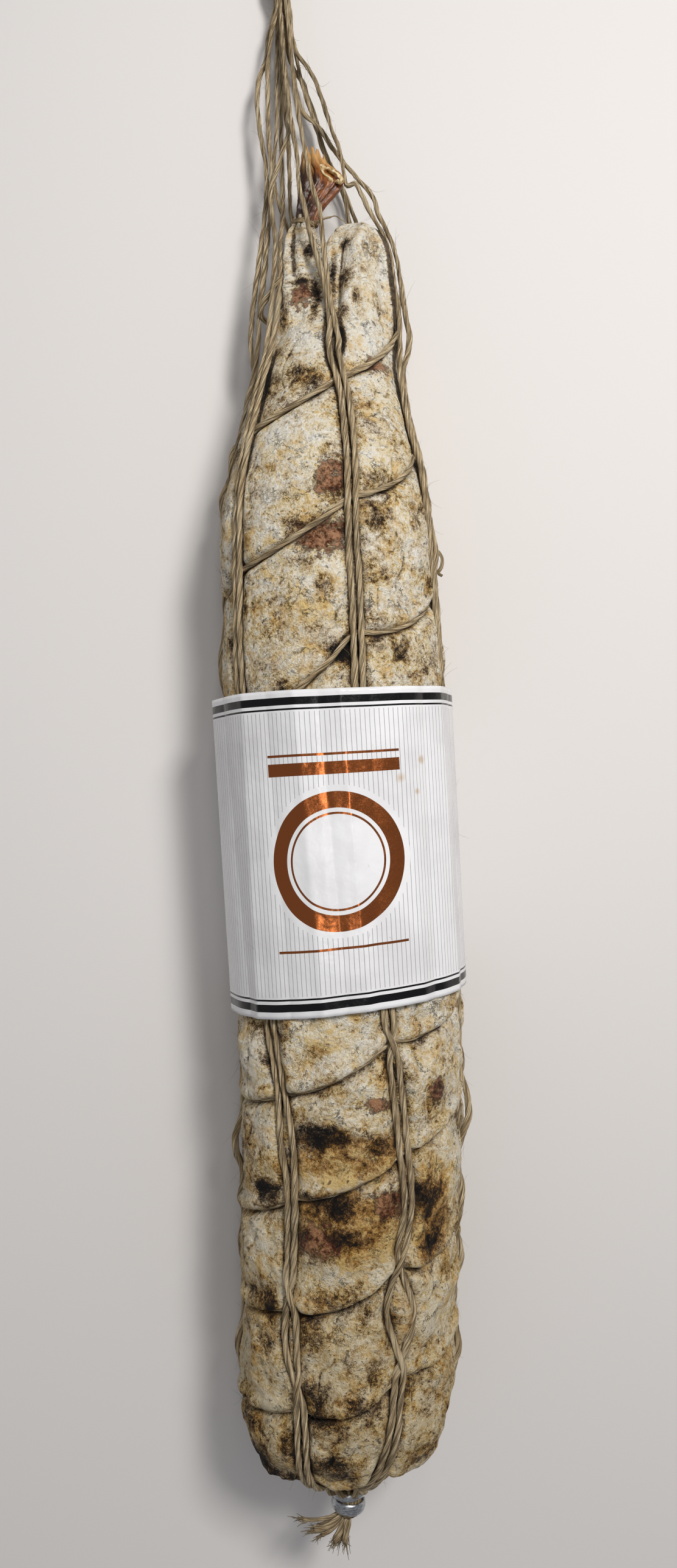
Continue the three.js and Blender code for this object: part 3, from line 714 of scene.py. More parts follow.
# Ochre mould and dark flecks, then a dark rim and inside it the dry skin where the mould is
# rubbed off, then painted shade in the grooves and creases: what drives each, what frays its
# edge and how much, where it starts and is full, how strong, and its colours from thin felt to
# thick.
shares = []
for mark, frayer, frayed, low, high, strong, tones in (
    (ochre_in, patches, 2.6, 0.25, 0.7, 0.85, ("#1c1008", "#6b4517", "#b48136", "#ecca80")),
    (thin, flecks, 2.9, 0.27, 0.39, 0.93, ("#0c0805", "#1a120a", "#382918", "#66523a")),
    (bare_in, tufts, 3.2, 0.38, 0.54, 0.8, ("#120b07", "#22150c", "#3a281a", "#665038")),
    (bare_in, tufts, 3.2, 0.58, 0.86, 0.94, ("#160a05", "#2b1409", "#5e3019", "#bf8d68")),
    (shade_and_highlight_in, grain, 2.2, 0.4, 0.85, 0.95, ("#080503", "#171009", "#302315", "#64503a")),
):
    edge = add("Math", {0: frayer, 1: frayed, 2: mark}, operation="MULTIPLY_ADD")
    share = add(
        "MapRange",
        {0: edge, 1: low + frayed / 2, 2: high + frayed / 2, 4: strong},
        interpolation_type="SMOOTHSTEP",
    )
    laid = add("ValToRGB", {0: felt}, list(zip((0.18, 0.36, 0.52, 0.74), tones)))
    tone = add("Mix", {0: share, 6: tone, 7: laid}, data_type="RGBA", out=2)
    shares.append(share)
# Fine dark cracks in the felt, in cells about 8 mm across that it has only in places.
to_crack = add(
    "TexVoronoi",
    {"Vector": bent_place, "Scale": 1 / 0.008},
    feature="DISTANCE_TO_EDGE",
    out="Distance",
)
cracked = add("MapRange", {0: tint[0], 1: 0.5, 2: 0.62, 4: 0.8})
crack = add("MapRange", {0: to_crack, 1: 0.05, 2: 0.01, 4: cracked})
tone = add("Mix", {0: crack, 6: tone, 7: linear("#2b1e12")}, data_type="RGBA", out=2)
# The lower third is made darker and browner, most towards the blunt end.
lower_darkening = add("MapRange", {0: height_up, 1: -0.08, 2: -0.22, 4: 0.9})
tone = add(
    "Mix", {0: lower_darkening, 6: tone, 7: linear("#e3d9c3")}, data_type="RGBA", blend_type="MULTIPLY", out=2
)
crust = add("Math", {0: crack, 1: -0.3, 2: felt}, operation="MULTIPLY_ADD")
relief = add("Bump", {"Height": crust, "Strength": 1.0, "Distance": 0.0014})
worn_smooth = add("MapRange", {0: shares[3], 1: 0.0, 2: 1.0, 3: 0.93, 4: 0.5})
join(shader, {"Base Color": tone, "Normal": relief, "Roughness": worn_smooth})
join(shader, {"Specular IOR Level": 0.3})

casing = make_piece("salami", casing_solid, moulded_casing, "moulded_casing", "salami")
front = flat_normals[:, 2]
painted = marks_at(moved, front)
# Marks of the same kinds, scattered by chance over the sides and the back.
hidden = np.clip(0.5 - front * 2, 0, 1)
for i, (size, least) in enumerate([(26, 0.42), (34, 0.22), (20, 0.3), (30, 0.2)]):
    chance = np.clip((rough(moved, size, 20 + i, 2) - least) * 3, 0, 0.9)
    painted[i] = np.maximum(painted[i], chance * hidden)
add_marks(casing, shade_and_highlight, painted)

# ---- The gathered neck ----
# Above the meat the same casing is gathered in pleats beside the rounded end, and tied.

# y, middle x, middle z, half width, half height
NECK = [
    (135, -7, 31, 13, 13), (145, -8, 31, 15, 15), (155, -9.2, 31, 14, 14.6),
    (165, -10.2, 30, 12.2, 13.4), (174, -11.4, 28, 9.9, 11.6), (183, -12.1, 26.4, 8.1, 9.4),
    (188, -12.6, 25.4, 6.8, 7.6), (192.5, -12.9, 24.8, 5.5, 5.8), (196, -12.8, 24.5, 4, 4),
    (198, -12.4, 24.5, 3.5, 3.4), (200, -12, 24.5, 3.4, 3.2),
]
NECK_ROWS, NECK_COLUMNS = 110 // COARSE, 120 // COARSE
row_y = np.linspace(135, 200, NECK_ROWS)
turn = np.linspace(0, 2 * np.pi, NECK_COLUMNS, endpoint=False)
rows = row_y[:, None]
neck_pleats = 1 + 0.05 * np.sin(6 * turn + np.sin(rows / 7)) + 0.05 * np.sin(11 * turn + rows / 11)
neck_pleats = 1 + (neck_pleats - 1) * np.clip((rows - 150) / 25, 0.25, 1.6)
middle_x, middle_z, half_width, half_height = [read_table(NECK, rows, k) for k in (1, 2, 3, 4)]
half_width, half_height = half_width * neck_pleats, half_height * neck_pleats
grid = round_grid(rows, turn, middle_x, middle_z, half_width, half_height)
outward = grid_normals(grid)
grid += outward * (0.5 * rough(grid.reshape(-1, 3), 6, 31, 4).reshape(NECK_ROWS, -1))[..., None]
grid += outward * (0.12 * rough(grid.reshape(-1, 3), 1.8, 32, 3).reshape(NECK_ROWS, -1))[..., None]
neck_solid = Solid()
neck_solid.tube(grid, row_y * MM)
neck = make_piece("gathered_neck", neck_solid, moulded_casing, "moulded_casing")
neck_points = grid.reshape(-1, 3)
# Painted shade on the neck: in the valley beside the rounded end, in its pleats' folds and next to
# the twines.
away, _ = nearest(long_tree, neck_points)
crease_shade = np.clip(1.2 - np.abs(neck_points[:, 0] + 2.2) / 3.0, 0, 1)
folds = np.clip((1 - neck_pleats) * 14, 0, 1).reshape(-1)
neck_shade = np.clip(np.maximum(np.maximum(0.8 * crease_shade, 0.75 * folds), 1.3 - away / 1.6), 0, 1)
add_marks(neck, neck_shade, marks_at(neck_points, outward[..., 2].reshape(-1)))

# ---- The dry casing past the tie ----
# The cut end of the gut: no mould, dried hard and clear like horn, crumpled lengthwise, its
# rim torn at the top and rolled over in a cream lip at the right.

# y, middle x, half width, half height
TAIL = [
    (196.5, -11.8, 3.6, 3.2), (200, -11.2, 4, 3.1), (204, -9.8, 4.8, 3.4), (208, -7.8, 6.4, 3.6),
    (212, -6.2, 7.2, 3.6), (215, -6.4, 6.6, 3.3), (218, -8.2, 4.7, 2.9), (225, -8.8, 3.2, 2.1),
]
TAIL_Z = 24.5
TAIL_FOOT, TAIL_LONG = 196.5, 29.5
GUT_THICK = 0.55
TAIL_ROWS, TAIL_COLUMNS = 70, 84
share = np.linspace(0, 1, TAIL_ROWS)
turn = np.linspace(0, 2 * np.pi, TAIL_COLUMNS, endpoint=False)
folds = 1 + 0.1 * np.sin(5 * turn + 2 * share[:, None]) + 0.07 * np.sin(8 * turn + 2)
folds += 0.06 * np.sin(13 * turn - 3 * share[:, None])
# The torn rim: each column stops at its own height.
rim = 1 - 0.1 * np.abs(np.sin(5 * turn + 0.8)) - 0.07 * np.abs(np.sin(11 * turn))
rim -= 0.16 * np.clip(np.sin(turn - 0.35), 0, 1)
row_y = TAIL_FOOT + TAIL_LONG * (share[:, None] * rim)
middle_x, half_width, half_height = [read_table(TAIL, row_y, k) for k in (1, 2, 3)]
grid = round_grid(row_y, turn, middle_x, TAIL_Z, half_width * folds, half_height * folds)
outward = grid_normals(grid)
grid += outward * (0.4 * rough(grid.reshape(-1, 3), 4, 41, 3).reshape(TAIL_ROWS, -1))[..., None]
inner = grid - outward * GUT_THICK
closed = np.concatenate([grid, inner[::-1][:-6]])
tail_solid = Solid()
tail_solid.tube(closed, np.concatenate([share, share[::-1][:-6]]) * 0.03)

# Dried gut: clear horn-like collagen, satin, near black where it is folded thick, amber where
# it is thin, and chalky at the tie. Its left side is darkened with painted shade.
dry_casing, shader, add = new_material("dried_gut_casing")
unrolled = add("UVMap", uv_map="unrolled", out="UV")
place = add("TexCoord", out="Object")
# Lengthwise fibres, about 0.5 mm apart at the tie.
fibre_place = add("Mapping", {"Vector": unrolled, "Scale": (90, 46, 1)})
fibres, blots = [
    add("TexNoise", {"Vector": on, "Scale": scale, "Detail": 4, "Roughness": 0.6})
    for on, scale in ((fibre_place, 1), (place, 190))
]
horn = add(
    "ValToRGB",
    {0: fibres},
    [(0.28, "#240f05"), (0.44, "#64300f"), (0.58, "#94541d"), (0.74, "#c98a40")],
)
along = add("SeparateXYZ", {0: unrolled})
sideways = add("SeparateXYZ", {0: place})
for source, low, high, strong, colour in (
    # The sideways entry darkens the tail's left side, away from the lamp: painted shade.
    (blots, 0.48, 0.62, 0.75, "#2b1409"), (sideways, -0.0075, -0.0115, 0.85, "#26130a"),
    (along, 0.021, 0.028, 0.75, "#d9a868"), (along, 0.004, 0.0, 0.8, "#5d4630"),
):
    share = add("MapRange", {0: source, 1: low, 2: high, 4: strong})
    horn = add("Mix", {0: share, 6: horn, 7: linear(colour)}, data_type="RGBA", out=2)
relief = add("Bump", {"Height": fibres, "Strength": 0.7, "Distance": 0.0008})
join(shader, {"Base Color": horn, "Normal": relief, "Roughness": 0.3})
make_piece("casing_tail", tail_solid, dry_casing, "dry_casing", "casing_tail")

# The rolled lip: a thick ring of gut folded over on the cut edge, still pale.
LIP_ROWS, LIP_COLUMNS = 64, 24
turn = np.linspace(0, 2 * np.pi, LIP_ROWS)
ring = np.linspace(0, 2 * np.pi, LIP_COLUMNS, endpoint=False)
uneven = 1 + 0.16 * np.sin(3 * turn + 0.5) + 0.1 * np.sin(5 * turn)
lean = math.radians(-38)
across, upward = 4.0 * np.cos(turn) * uneven, 1.35 * np.sin(turn) * uneven
middle = np.stack(
    [
        -3.0 + across * math.cos(lean) - upward * math.sin(lean),
        213.8 + across * math.sin(lean) + upward * math.cos(lean),
        TAIL_Z + 3.0 + 0.9 * np.sin(turn * 2),
    ],
    axis=-1,
)
_, side, up = cross_sections(middle)
thick = 0.85 * (1 + 0.3 * np.sin(4 * turn + 1))
rings = middle[:, None] + (thick[:, None] * np.cos(ring))[..., None] * side[:, None]
rings += (0.8 * thick[:, None] * np.sin(ring))[..., None] * up[:, None]
bumpy = rings.reshape(-1, 3)
rings = rings + 0.25 * rough(bumpy, 1.5, 51, 3).reshape(LIP_ROWS, LIP_COLUMNS, 1)
lip_solid = Solid()
lip_solid.tube(rings, turn * 0.004)

# Fresh-cut gut that dried pale: cream collagen with ochre edges, satin.
cream_casing, shader, add = new_material("dried_pale_gut")
place = add("TexCoord", out="Object")
curds = add("TexNoise", {"Vector": place, "Scale": 700, "Detail": 4, "Roughness": 0.65})
cream = add(
    "ValToRGB",
    {0: curds},
    [(0.34, "#6b431d"), (0.46, "#b89560"), (0.56, "#dcc79a"), (0.7, "#f3e9cd")],
)
relief = add("Bump", {"Height": curds, "Strength": 0.6, "Distance": 0.0005})
join(shader, {"Base Color": cream, "Normal": relief, "Roughness": 0.45})
make_piece("casing_lip", lip_solid, cream_casing, "dry_casing")

# ---- The string round the neck ----
# Two turns of soft cotton string hold the gathered casing, with a cut stub and a loose thread.

STRING_R = 0.6
string_solid = Solid()
turns = np.linspace(0, 2 * np.pi * 2.1, 34)
coil = np.stack(
    [-12.6 + 4.0 * np.sin(turns), 196.4 + 1.3 * turns / turns[-1], 24.5 + 3.95 * np.cos(turns)],
    axis=-1,
)
lay_twine(string_solid, smooth_line(coil, 0.45), 610, STRING_R)
stub = [(-8.2, 197, 26), (-6.6, 197.3, 28), (-4.6, 197.8, 28.6), (-2.6, 198.4, 28.2)]
lay_twine(string_solid, smooth_line(stub, 0.45), 611, 0.5, 0.75)
thread = [
    (-3.2, 198.2, 28.3), (-1, 198.5, 28.8), (0.8, 197.4, 28.6), (2.4, 196.6, 28.2),
    (3.6, 195.2, 28.4),
]
lay_twine(string_solid, smooth_line(thread, 0.5), 612, 0.22, 0.6)
pale_string, shader, add = new_material("cotton_string")
unrolled = add("UVMap", uv_map="unrolled", out="UV")
# Cotton is combed short and soft: fibres about 0.3 mm wide.
fibre_place = add("Mapping", {"Vector": unrolled, "Scale": (500, 12, 1)})
fibres = add("TexNoise", {"Vector": fibre_place, "Scale": 1, "Detail": 3, "Roughness": 0.6})
cotton = add("ValToRGB", {0: fibres}, [(0.3, "#4d3d28"), (0.5, "#8f7a5a"), (0.7, "#c9b793")])
relief = add("Bump", {"Height": fibres, "Strength": 0.6, "Distance": 0.0003})
join(shader, {"Base Color": cotton, "Normal": relief, "Roughness": 0.9})
make_piece("neck_tie", string_solid, pale_string, "pale_string", "neck_tie")

# ---- The net ----
# Hemp twine laid on: six pairs along the sausage over two twines that wind round it.

for w in range(6):
    for side in (0, 1):
        name = f"long_twine_{w + 1}{'ab'[side]}"
        solid = Solid()
        line = long_lines[2 * w + side][::COARSE]
        # Past the thin end the net's weight has pulled the twines thin.
        taut = TWINE_R * np.interp(line[:, 1], [-236, 120, 175, 215], [1.02, 1.02, 0.88, 0.76])
        lay_twine(solid, line, 100 + 10 * w + side, taut)
        make_piece(name, solid, hemp_twine, "hemp_twine", name)
for i, line in enumerate(winding_lines):
    name = f"cross_twine_{i + 1}"
    solid = Solid()
    lay_twine(solid, line[::COARSE], 300 + i, 0.92 * TWINE_R)
    make_piece(name, solid, hemp_twine, "hemp_twine", name)


def lay_fibre(solid, line, radius, corners, long):
    """Adds a plain fibre. radius is one number for each place."""
    _, side, up = cross_sections(line)
    corner = 2 * np.pi * np.arange(corners)[:, None] / corners
    round_it = np.cos(corner) * side[:, None] + np.sin(corner) * up[:, None]
    rings = line[:, None] + radius[:, None, None] * round_it
    solid.tube(rings, np.linspace(0, long, len(line)) * MM)


# Loose fibres stand off the twines: each a bent, tapering hair about 0.1 mm thick.
FUZZ_PER_TWINE = 150
chance = np.random.default_rng(5)
fuzz_solid = Solid()
for line in long_lines + winding_lines:
    ahead, side, up = cross_sections(line)
    for at in chance.integers(12, len(line) - 6, FUZZ_PER_TWINE):
        turn = chance.uniform(0, 2 * np.pi)
        out = side[at] * math.cos(turn) + up[at] * math.sin(turn)
        lean = ahead[at] * chance.choice([-1, 1])
        long, rise = chance.uniform(2.0, 6.5), chance.uniform(0.25, 0.75)
        root = line[at] + out * TWINE_R * 0.8
        drift = chance.normal(0, 0.25, 3)
        steps = np.linspace(0, 1, 5)[:, None]
        hair = root + long * steps * (lean + out * rise * steps + drift * steps)
        hair[:, 2] = np.maximum(hair[:, 2], 0.15)
        lay_fibre(fuzz_solid, hair, 0.06 * (1 - 0.75 * steps[:, 0]), 3, long)
# One broken twine end stands out at the right.
broken_end = [
    (31.6, 79.5, 41), (33.4, 78.4, 43), (34.8, 75.6, 44), (34.5, 72.6, 44), (33.6, 71, 43.4),
    (34.8, 70, 44),
]
lay_twine(fuzz_solid, smooth_line(broken_end, 0.6), 700, 0.55)
make_piece("twine_fuzz", fuzz_solid, hemp_twine, "hemp_twine")

# ---- The paper band ----
# One strip of coated white paper, 0.28 mm thick, wrapped loosely round the net and glued to
# itself underneath. It touches the twines, and has buckled into soft lengthwise creases.

BAND_THICK = 0.28
OVERLAP = 14.0
STRIP_ROUND, STRIP_WIDE = 0.2545, 0.1  # once round and edge to edge, in metres
BAND_COLUMNS, BAND_ROWS = 420 // COARSE, 90 // COARSE
SEAM = 196.0  # degrees from the top where the strip starts, on the underside
# The sleeve's two edges: y at its middle, middle x, radius, tilt in degrees.
BAND_TOP = (29.6, -2.2, 41.0, 2.9)
BAND_FOOT = (-70.9, 3.7, 40.1, 6.6)
# Creases: where they stand at the top edge and at the foot, width and height.
CREASES = [
    (-62, -54, 7, -0.7), (-44, -47, 4, 0.6), (-31, -28, 5, -0.5), (-17, -12, 3.4, 0.55),
    (-6, -1, 4, -0.45), (4, 9, 3.0, 0.5), (17, 14, 5, -0.5), (31, 36, 4, 0.55), (46, 44, 5, -0.7),
    (58, 63, 4.5, 0.6), (74, 70, 6, -0.6), (104, 100, 7, 0.7), (131, 137, 8, -0.8),
    (228, 221, 8, 0.7), (262, 268, 7, -0.7), (285, 281, 6, 0.6),
]
round_band = 360 + math.degrees(OVERLAP / 40.5)
degrees = SEAM - 360 + np.linspace(0, round_band, BAND_COLUMNS)
down = np.linspace(0, 1, BAND_ROWS)
turn = np.radians(degrees)[None, :]
lapped = np.clip((degrees - (SEAM - 2)) / 4, 0, 1)[None, :] * (BAND_THICK + 0.12)
edge_y, middle_x, radius, tilt = [
    (a + (b - a) * down)[:, None] for a, b in zip(BAND_TOP, BAND_FOOT)
]
height = np.zeros((BAND_ROWS, BAND_COLUMNS))
for at_top, at_foot, wide, high in CREASES:
    place_of = at_top + (at_foot - at_top) * down[:, None]
    apart = (degrees[None, :] - place_of + 180) % 360 - 180
    # A crease is a soft fold with a sharper line down its middle.
    height += high * (0.7 * np.exp(-((apart / wide) ** 2)) + 0.3 * np.exp(-np.abs(apart) / 1.3))
sleeve = radius + height + lapped - 0.35
z = AXIS_Z + sleeve * np.cos(turn)
x = middle_x + sleeve * np.sin(turn)
# The underside is pressed flat on the table, and its width goes out to the sides.
low = 1.6
z = np.where(z < low, 0.3 + (low - 0.3) * np.exp(np.minimum(z - low, 0) / (low - 0.3)), z)
z = z + np.where(z < 2, lapped, 0)
y = edge_y + np.tan(np.radians(tilt)) * (x - middle_x)
# The edges wave a little where the paper stands free.
y = y + 0.35 * np.sin(3 * turn + 1) * (2 * down[:, None] - 1)
points = np.stack([x, y, z], axis=-1)
band_mesh = bpy.data.meshes.new("paper_band")
faces, unrolled = [], []
for i in range(BAND_ROWS - 1):
    for j in range(BAND_COLUMNS - 1):
        near = i * BAND_COLUMNS + j
        faces.append((near, near + BAND_COLUMNS, near + BAND_COLUMNS + 1, near + 1))
        for a, b in ((i, j), (i + 1, j), (i + 1, j + 1), (i, j + 1)):
            unrolled.append((degrees[b] / 360 * STRIP_ROUND, STRIP_WIDE * (1 - down[a])))
band_mesh.from_pydata(((points.reshape(-1, 3) + ORIGIN) * MM).tolist(), [], faces)
band_mesh.uv_layers.new(name="unrolled").data.foreach_set(
    "uv", np.array(unrolled, np.float32).ravel()
)
band_mesh.shade_smooth()
band = bpy.data.objects.new("paper_band_sleeve", band_mesh)
bpy.context.collection.objects.link(band)
bpy.context.view_layer.objects.active = band
band.select_set(True)
wall = band.modifiers.new("wall", "SOLIDIFY")
wall.thickness = BAND_THICK * MM
wall.offset = -1
bpy.ops.object.modifier_apply(modifier="wall")
band.select_set(False)

# Coated paper: bright white clay coat, semi-gloss, printed with black and thin grey lines and
# hot-stamped with copper foil. It has a few yellow oil stains and scuffs.
coated_paper, shader, add = new_material("coated_paper")
unrolled = add("UVMap", uv_map="unrolled", out="UV")
place = add("TexCoord", out="Object")
axes = add("SeparateXYZ", {0: unrolled}, out=None).outputs
across, upward = axes[0], axes[1]

# Each printed line starts and ends at a stop: white is ink, black is none. From the middle of
# the strip to its edge at 50 mm: thin line 0.7 mm, gap 1 mm, thick line 2.2 mm, margin 2.3 mm.
# A plain foil ring, 43 mm across, and three plain foil rules stand for the printed panel.
RING_PLACE = (-0.001, 0.047, 0)
off_middle = add("Math", {0: upward, 1: 0.05}, operation="SUBTRACT")
from_middle = add("Math", {0: off_middle}, operation="ABSOLUTE")
from_ring = add("VectorMath", {0: unrolled, 1: RING_PLACE}, operation="DISTANCE", out="Value")
# Pinstripes 1.56 mm apart and 0.22 mm wide.
in_stripes = add("Math", {0: across, 1: 1 / 0.00156}, operation="MULTIPLY")
in_pitch = add("Math", {0: in_stripes}, operation="FRACT")
INK, NONE = "#ffffff", "#000000"
printed = []
for source, reach, stops in (
    (from_middle, 0.05, [(0, NONE), (0.876, INK), (0.89, NONE), (0.91, INK), (0.954, NONE)]),
    (in_pitch, 1, [(0, NONE), (0.3, INK), (0.44, NONE)]),
    (from_middle, 0.05, [(0, INK), (0.866, NONE)]),
    (from_ring, 0.025, [(0, NONE), (0.94, INK)]),
    (from_ring, 0.025, [(0, NONE), (0.58, INK), (0.608, NONE), (0.66, INK), (0.86, NONE)]),
    (
        upward, 0.1,
        [(0, NONE), (0.199, INK), (0.205, NONE), (0.738, INK), (0.776, NONE), (0.796, INK),
         (0.802, NONE)],
    ),
):
    share = add("Math", {0: source, 1: 1 / reach}, operation="MULTIPLY")
    ramp = add("ValToRGB", {0: share}, stops, out=None)
    ramp.color_ramp.interpolation = "CONSTANT"
    printed.append(ramp.outputs[0])
black, pin, field, off_ring, ring, rules = printed
for cover in (field, off_ring):
    pin = add("Math", {0: pin, 1: cover}, operation="MULTIPLY")
as_wide_as_ring = add("Math", {0: across, 1: RING_PLACE[0], 2: 0.0215}, operation="COMPARE")
rules = add("Math", {0: rules, 1: as_wide_as_ring}, operation="MULTIPLY")
foil = add("Math", {0: ring, 1: rules}, operation="MAXIMUM")
faint_pin = add("Math", {0: pin, 1: 0.6}, operation="MULTIPLY")
smudge, scuffs, waves = [
    add("TexNoise", {"Vector": place, "Scale": scale, "Detail": 3}) for scale in (45, 2400, 120)
]
grubby = add("MapRange", {0: smudge, 1: 0.45, 2: 0.7, 4: 0.5})
paper = add(
    "Mix", {0: grubby, 6: linear("#e8e7e8"), 7: linear("#c9c7c8")}, data_type="RGBA", out=2
)
# Three oil stains at the right of the field, each a few millimetres.
edge_wander = add("MapRange", {0: smudge, 1: 0.3, 2: 0.7, 3: -0.0012, 4: 0.0012})
layers = []
for stain_x, stain_y, size in (
    (0.0295, 0.0765, 0.0017), (0.0205, 0.0712, 0.0026), (0.0268, 0.0665, 0.0014)
):
    from_stain = add(
        "VectorMath", {0: unrolled, 1: (stain_x, stain_y, 0)}, operation="DISTANCE", out="Value"
    )
    blurred = add("Math", {0: from_stain, 1: edge_wander}, operation="ADD")
    soaked = add("MapRange", {0: blurred, 1: size, 2: size * 0.3, 4: 0.55})
    layers.append((soaked, "#b98f3d"))
for share, colour in layers + [(faint_pin, "#5c5c60"), (black, "#08080a"), (foil, "#b86a3c")]:
    paper = add("Mix", {0: share, 6: paper, 7: linear(colour)}, data_type="RGBA", out=2)
relief = add("Bump", {"Height": waves, "Strength": 0.35, "Distance": 0.0012})
gloss = add("MapRange", {0: scuffs, 1: 0.35, 2: 0.7, 3: 0.16, 4: 0.3})
join(shader, {"Base Color": paper, "Metallic": foil, "Normal": relief, "Roughness": gloss})
join(shader, {"Specular IOR Level": 0.35})
band_mesh.materials.append(coated_paper)
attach(band, "root")
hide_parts("paper_band")

# ---- The clips ----
# Two clipper clips of bright aluminium wire close the gathered net under the blunt end. Each
# is bent round the bundle by a die, so its two ends meet, flattened, at the front.

CLIP_X = 3.4


def spun_clip(name, low_y, long, outer, slant, gap_turn):
    """A bent wire with a rounded section, spun round the bundle and thinned at its ends."""
    bpy.ops.mesh.primitive_circle_add(vertices=16, radius=0.5 * MM, fill_type="NGON")
    clip = bpy.context.object
    clip.name = name
    bpy.ops.object.mode_set(mode="EDIT")
    bpy.ops.mesh.select_all(action="SELECT")
    wall_thick = outer - 4.3
    centre = Vector((CLIP_X, low_y + long / 2, AXIS_Z))
    place_at = (Vector(ORIGIN) + centre) * MM
    bpy.ops.transform.resize(value=(wall_thick, long * 0.96, 1), center_override=(0, 0, 0))
    bpy.ops.transform.translate(value=place_at + Vector(((outer - wall_thick / 2) * MM, 0, 0)))
    bpy.ops.mesh.spin(
        steps=44, angle=math.radians(360 - gap_turn), center=place_at, axis=(0, 1, 0)
    )
    bpy.ops.mesh.select_all(action="SELECT")
    bpy.ops.mesh.remove_doubles(threshold=1e-7)
    bpy.ops.mesh.normals_make_consistent(inside=False)
    bpy.ops.transform.rotate(
        value=math.radians(-slant), orient_axis="Z", center_override=place_at
    )
    bpy.ops.object.mode_set(mode="OBJECT")
    # The die leaves the wire dished at the sides and pinched where the ends meet.
    for point in clip.data.vertices:
        away = (point.co - place_at) / MM
        turn_at = math.atan2(away.x, away.z)
        pinch = 1 + 0.1 * math.cos(2 * turn_at) - 0.05 * math.cos(3 * turn_at)
        bent = Vector((away.x * (1.06 - 0.04 * pinch), away.y * pinch, away.z * 0.97))
        point.co = place_at + bent * MM
    smooth = clip.modifiers.new("smooth", "SUBSURF")
    smooth.levels = smooth.render_levels = 2
    bpy.ops.object.modifier_apply(modifier="smooth")
    bpy.ops.object.shade_smooth()
    clip.data.transform(clip.matrix_world)
    clip.matrix_world.identity()
    clip.select_set(False)
    return clip


# Drawn aluminium wire: bright, softly scratched by the die, grey in the hollows.
clip_aluminium, shader, add = new_material("drawn_aluminium_wire")
place = add("TexCoord", out="Object")
scratch_place = add("Mapping", {"Vector": place, "Scale": (900, 4200, 900)})
scratches = add("TexNoise", {"Vector": scratch_place, "Scale": 1, "Detail": 3, "Roughness": 0.6})
metal = add("ValToRGB", {0: scratches}, [(0.35, "#85878a"), (0.5, "#b4b6b9"), (0.65, "#d3d5d8")])
relief = add("Bump", {"Height": scratches, "Strength": 0.25, "Distance": 0.0003})
dull = add("MapRange", {0: scratches, 1: 0.35, 2: 0.7, 3: 0.18, 4: 0.36})
join(shader, {"Base Color": metal, "Metallic": 1.0, "Normal": relief, "Roughness": dull})
for name, low_y, long, outer, slant, gap_turn in (
    ("clip_upper", -242.5, 2.7, 5.7, 4, 14),
    ("clip_lower", -247.2, 4.0, 5.75, -5, 10),
):
    clip = spun_clip(name + "_wire", low_y, long, outer, slant, gap_turn)
    clip.data.materials.append(clip_aluminium)
    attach(clip, "root")
    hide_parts(name)

# ---- The cut ends of the net ----
# All the twines are squeezed into one bundle through both clips, then cut. Past the clips the
# plies come undone and fan out.


def lay_ring(solid, middle, count, seed, spacing, radius, stations):
    """Adds twines set round a middle line. A station is their distance from it, and its y."""
    for i in range(count):
        even = 2 * np.pi * i / count
        out = np.array([math.sin(even), 0, math.cos(even)])
        line = [middle + out * away + [0, y, 0] for away, y in stations]
        lay_twine(solid, smooth_line(line, spacing), seed + i, radius)


ends_solid = Solid()
bundle_place = np.array([CLIP_X, 0, AXIS_Z])
squeezed_in = [(4.1, -237.0), (3.3, -241.5), (3.0, -246.5), (2.4, -248.6)]
lay_ring(ends_solid, bundle_place, 12, 400, 0.6, 1.15, squeezed_in)
# The middle of the bundle is solid with twine.
core_line = smooth_line([(CLIP_X, -236.6, AXIS_Z), (CLIP_X, -243, AXIS_Z), (CLIP_X, -249, AXIS_Z)])
lay_twine(ends_solid, core_line, 420, 3.0)
# Each tail leaves the bundle: its end from the bundle's middle, and how far it has frayed.
TAILS = [
    (-17.5, -4.2, 1.5, 0.7, 3), (-13.2, -7.4, 2.8, 0.95, 5), (-12.2, -9.4, -1.2, 1.0, 5),
    (-10.6, -10.4, 1.4, 1.0, 5), (-8.8, -9.6, -3, 0.95, 4), (-5.6, -12.6, 2, 1.05, 5),
    (-3.8, -14.2, -0.6, 1.05, 5), (-1.4, -13.0, 2.6, 1.0, 5), (-2.4, -11.8, -3, 0.95, 4),
]
for i, (x, y, z, thick, frayed) in enumerate(TAILS):
    tail_line = smooth_line(
        [
            bundle_place + [x * 0.05, -245.4, z * 0.3],
            bundle_place + [x * 0.2, -248.4, z * 0.6],
            bundle_place + [x * 0.55, -248.0 + y * 0.5, z * 0.9 + 0.5],
            bundle_place + [x, -246 + y, z],
        ],
        0.6,
    )
    lay_twine(ends_solid, tail_line[:-3], 430 + i, thick, 1.08)
    ahead = tail_line[-1] - tail_line[-4]
    ahead = ahead / np.linalg.norm(ahead)
    for hair in range(4 * frayed):
        spread = chance.normal(0, 0.42, 3)
        root = tail_line[-6] + chance.normal(0, 0.42, 3)
        reach = chance.uniform(2.6, 4.6)
        wisp = [
            root,
            root + ahead * reach * 0.5 + spread * 0.5,
            root + ahead * reach + spread * 1.9 + chance.normal(0, 0.3, 3),
        ]
        line = smooth_line(wisp, 0.8)
        lay_fibre(ends_solid, line, np.linspace(0.2, 0.07, len(line)), 5, reach)
make_piece("twine_ends", ends_solid, hemp_twine, "hemp_twine", "twine_ends")

# ---- The knot ----
# The twelve long twines are tied together in one overhand knot, twelve twines thick, and two
# of them come out of it again as the loop. Seven strands are drawn crossing, over eight that
# run straight through.

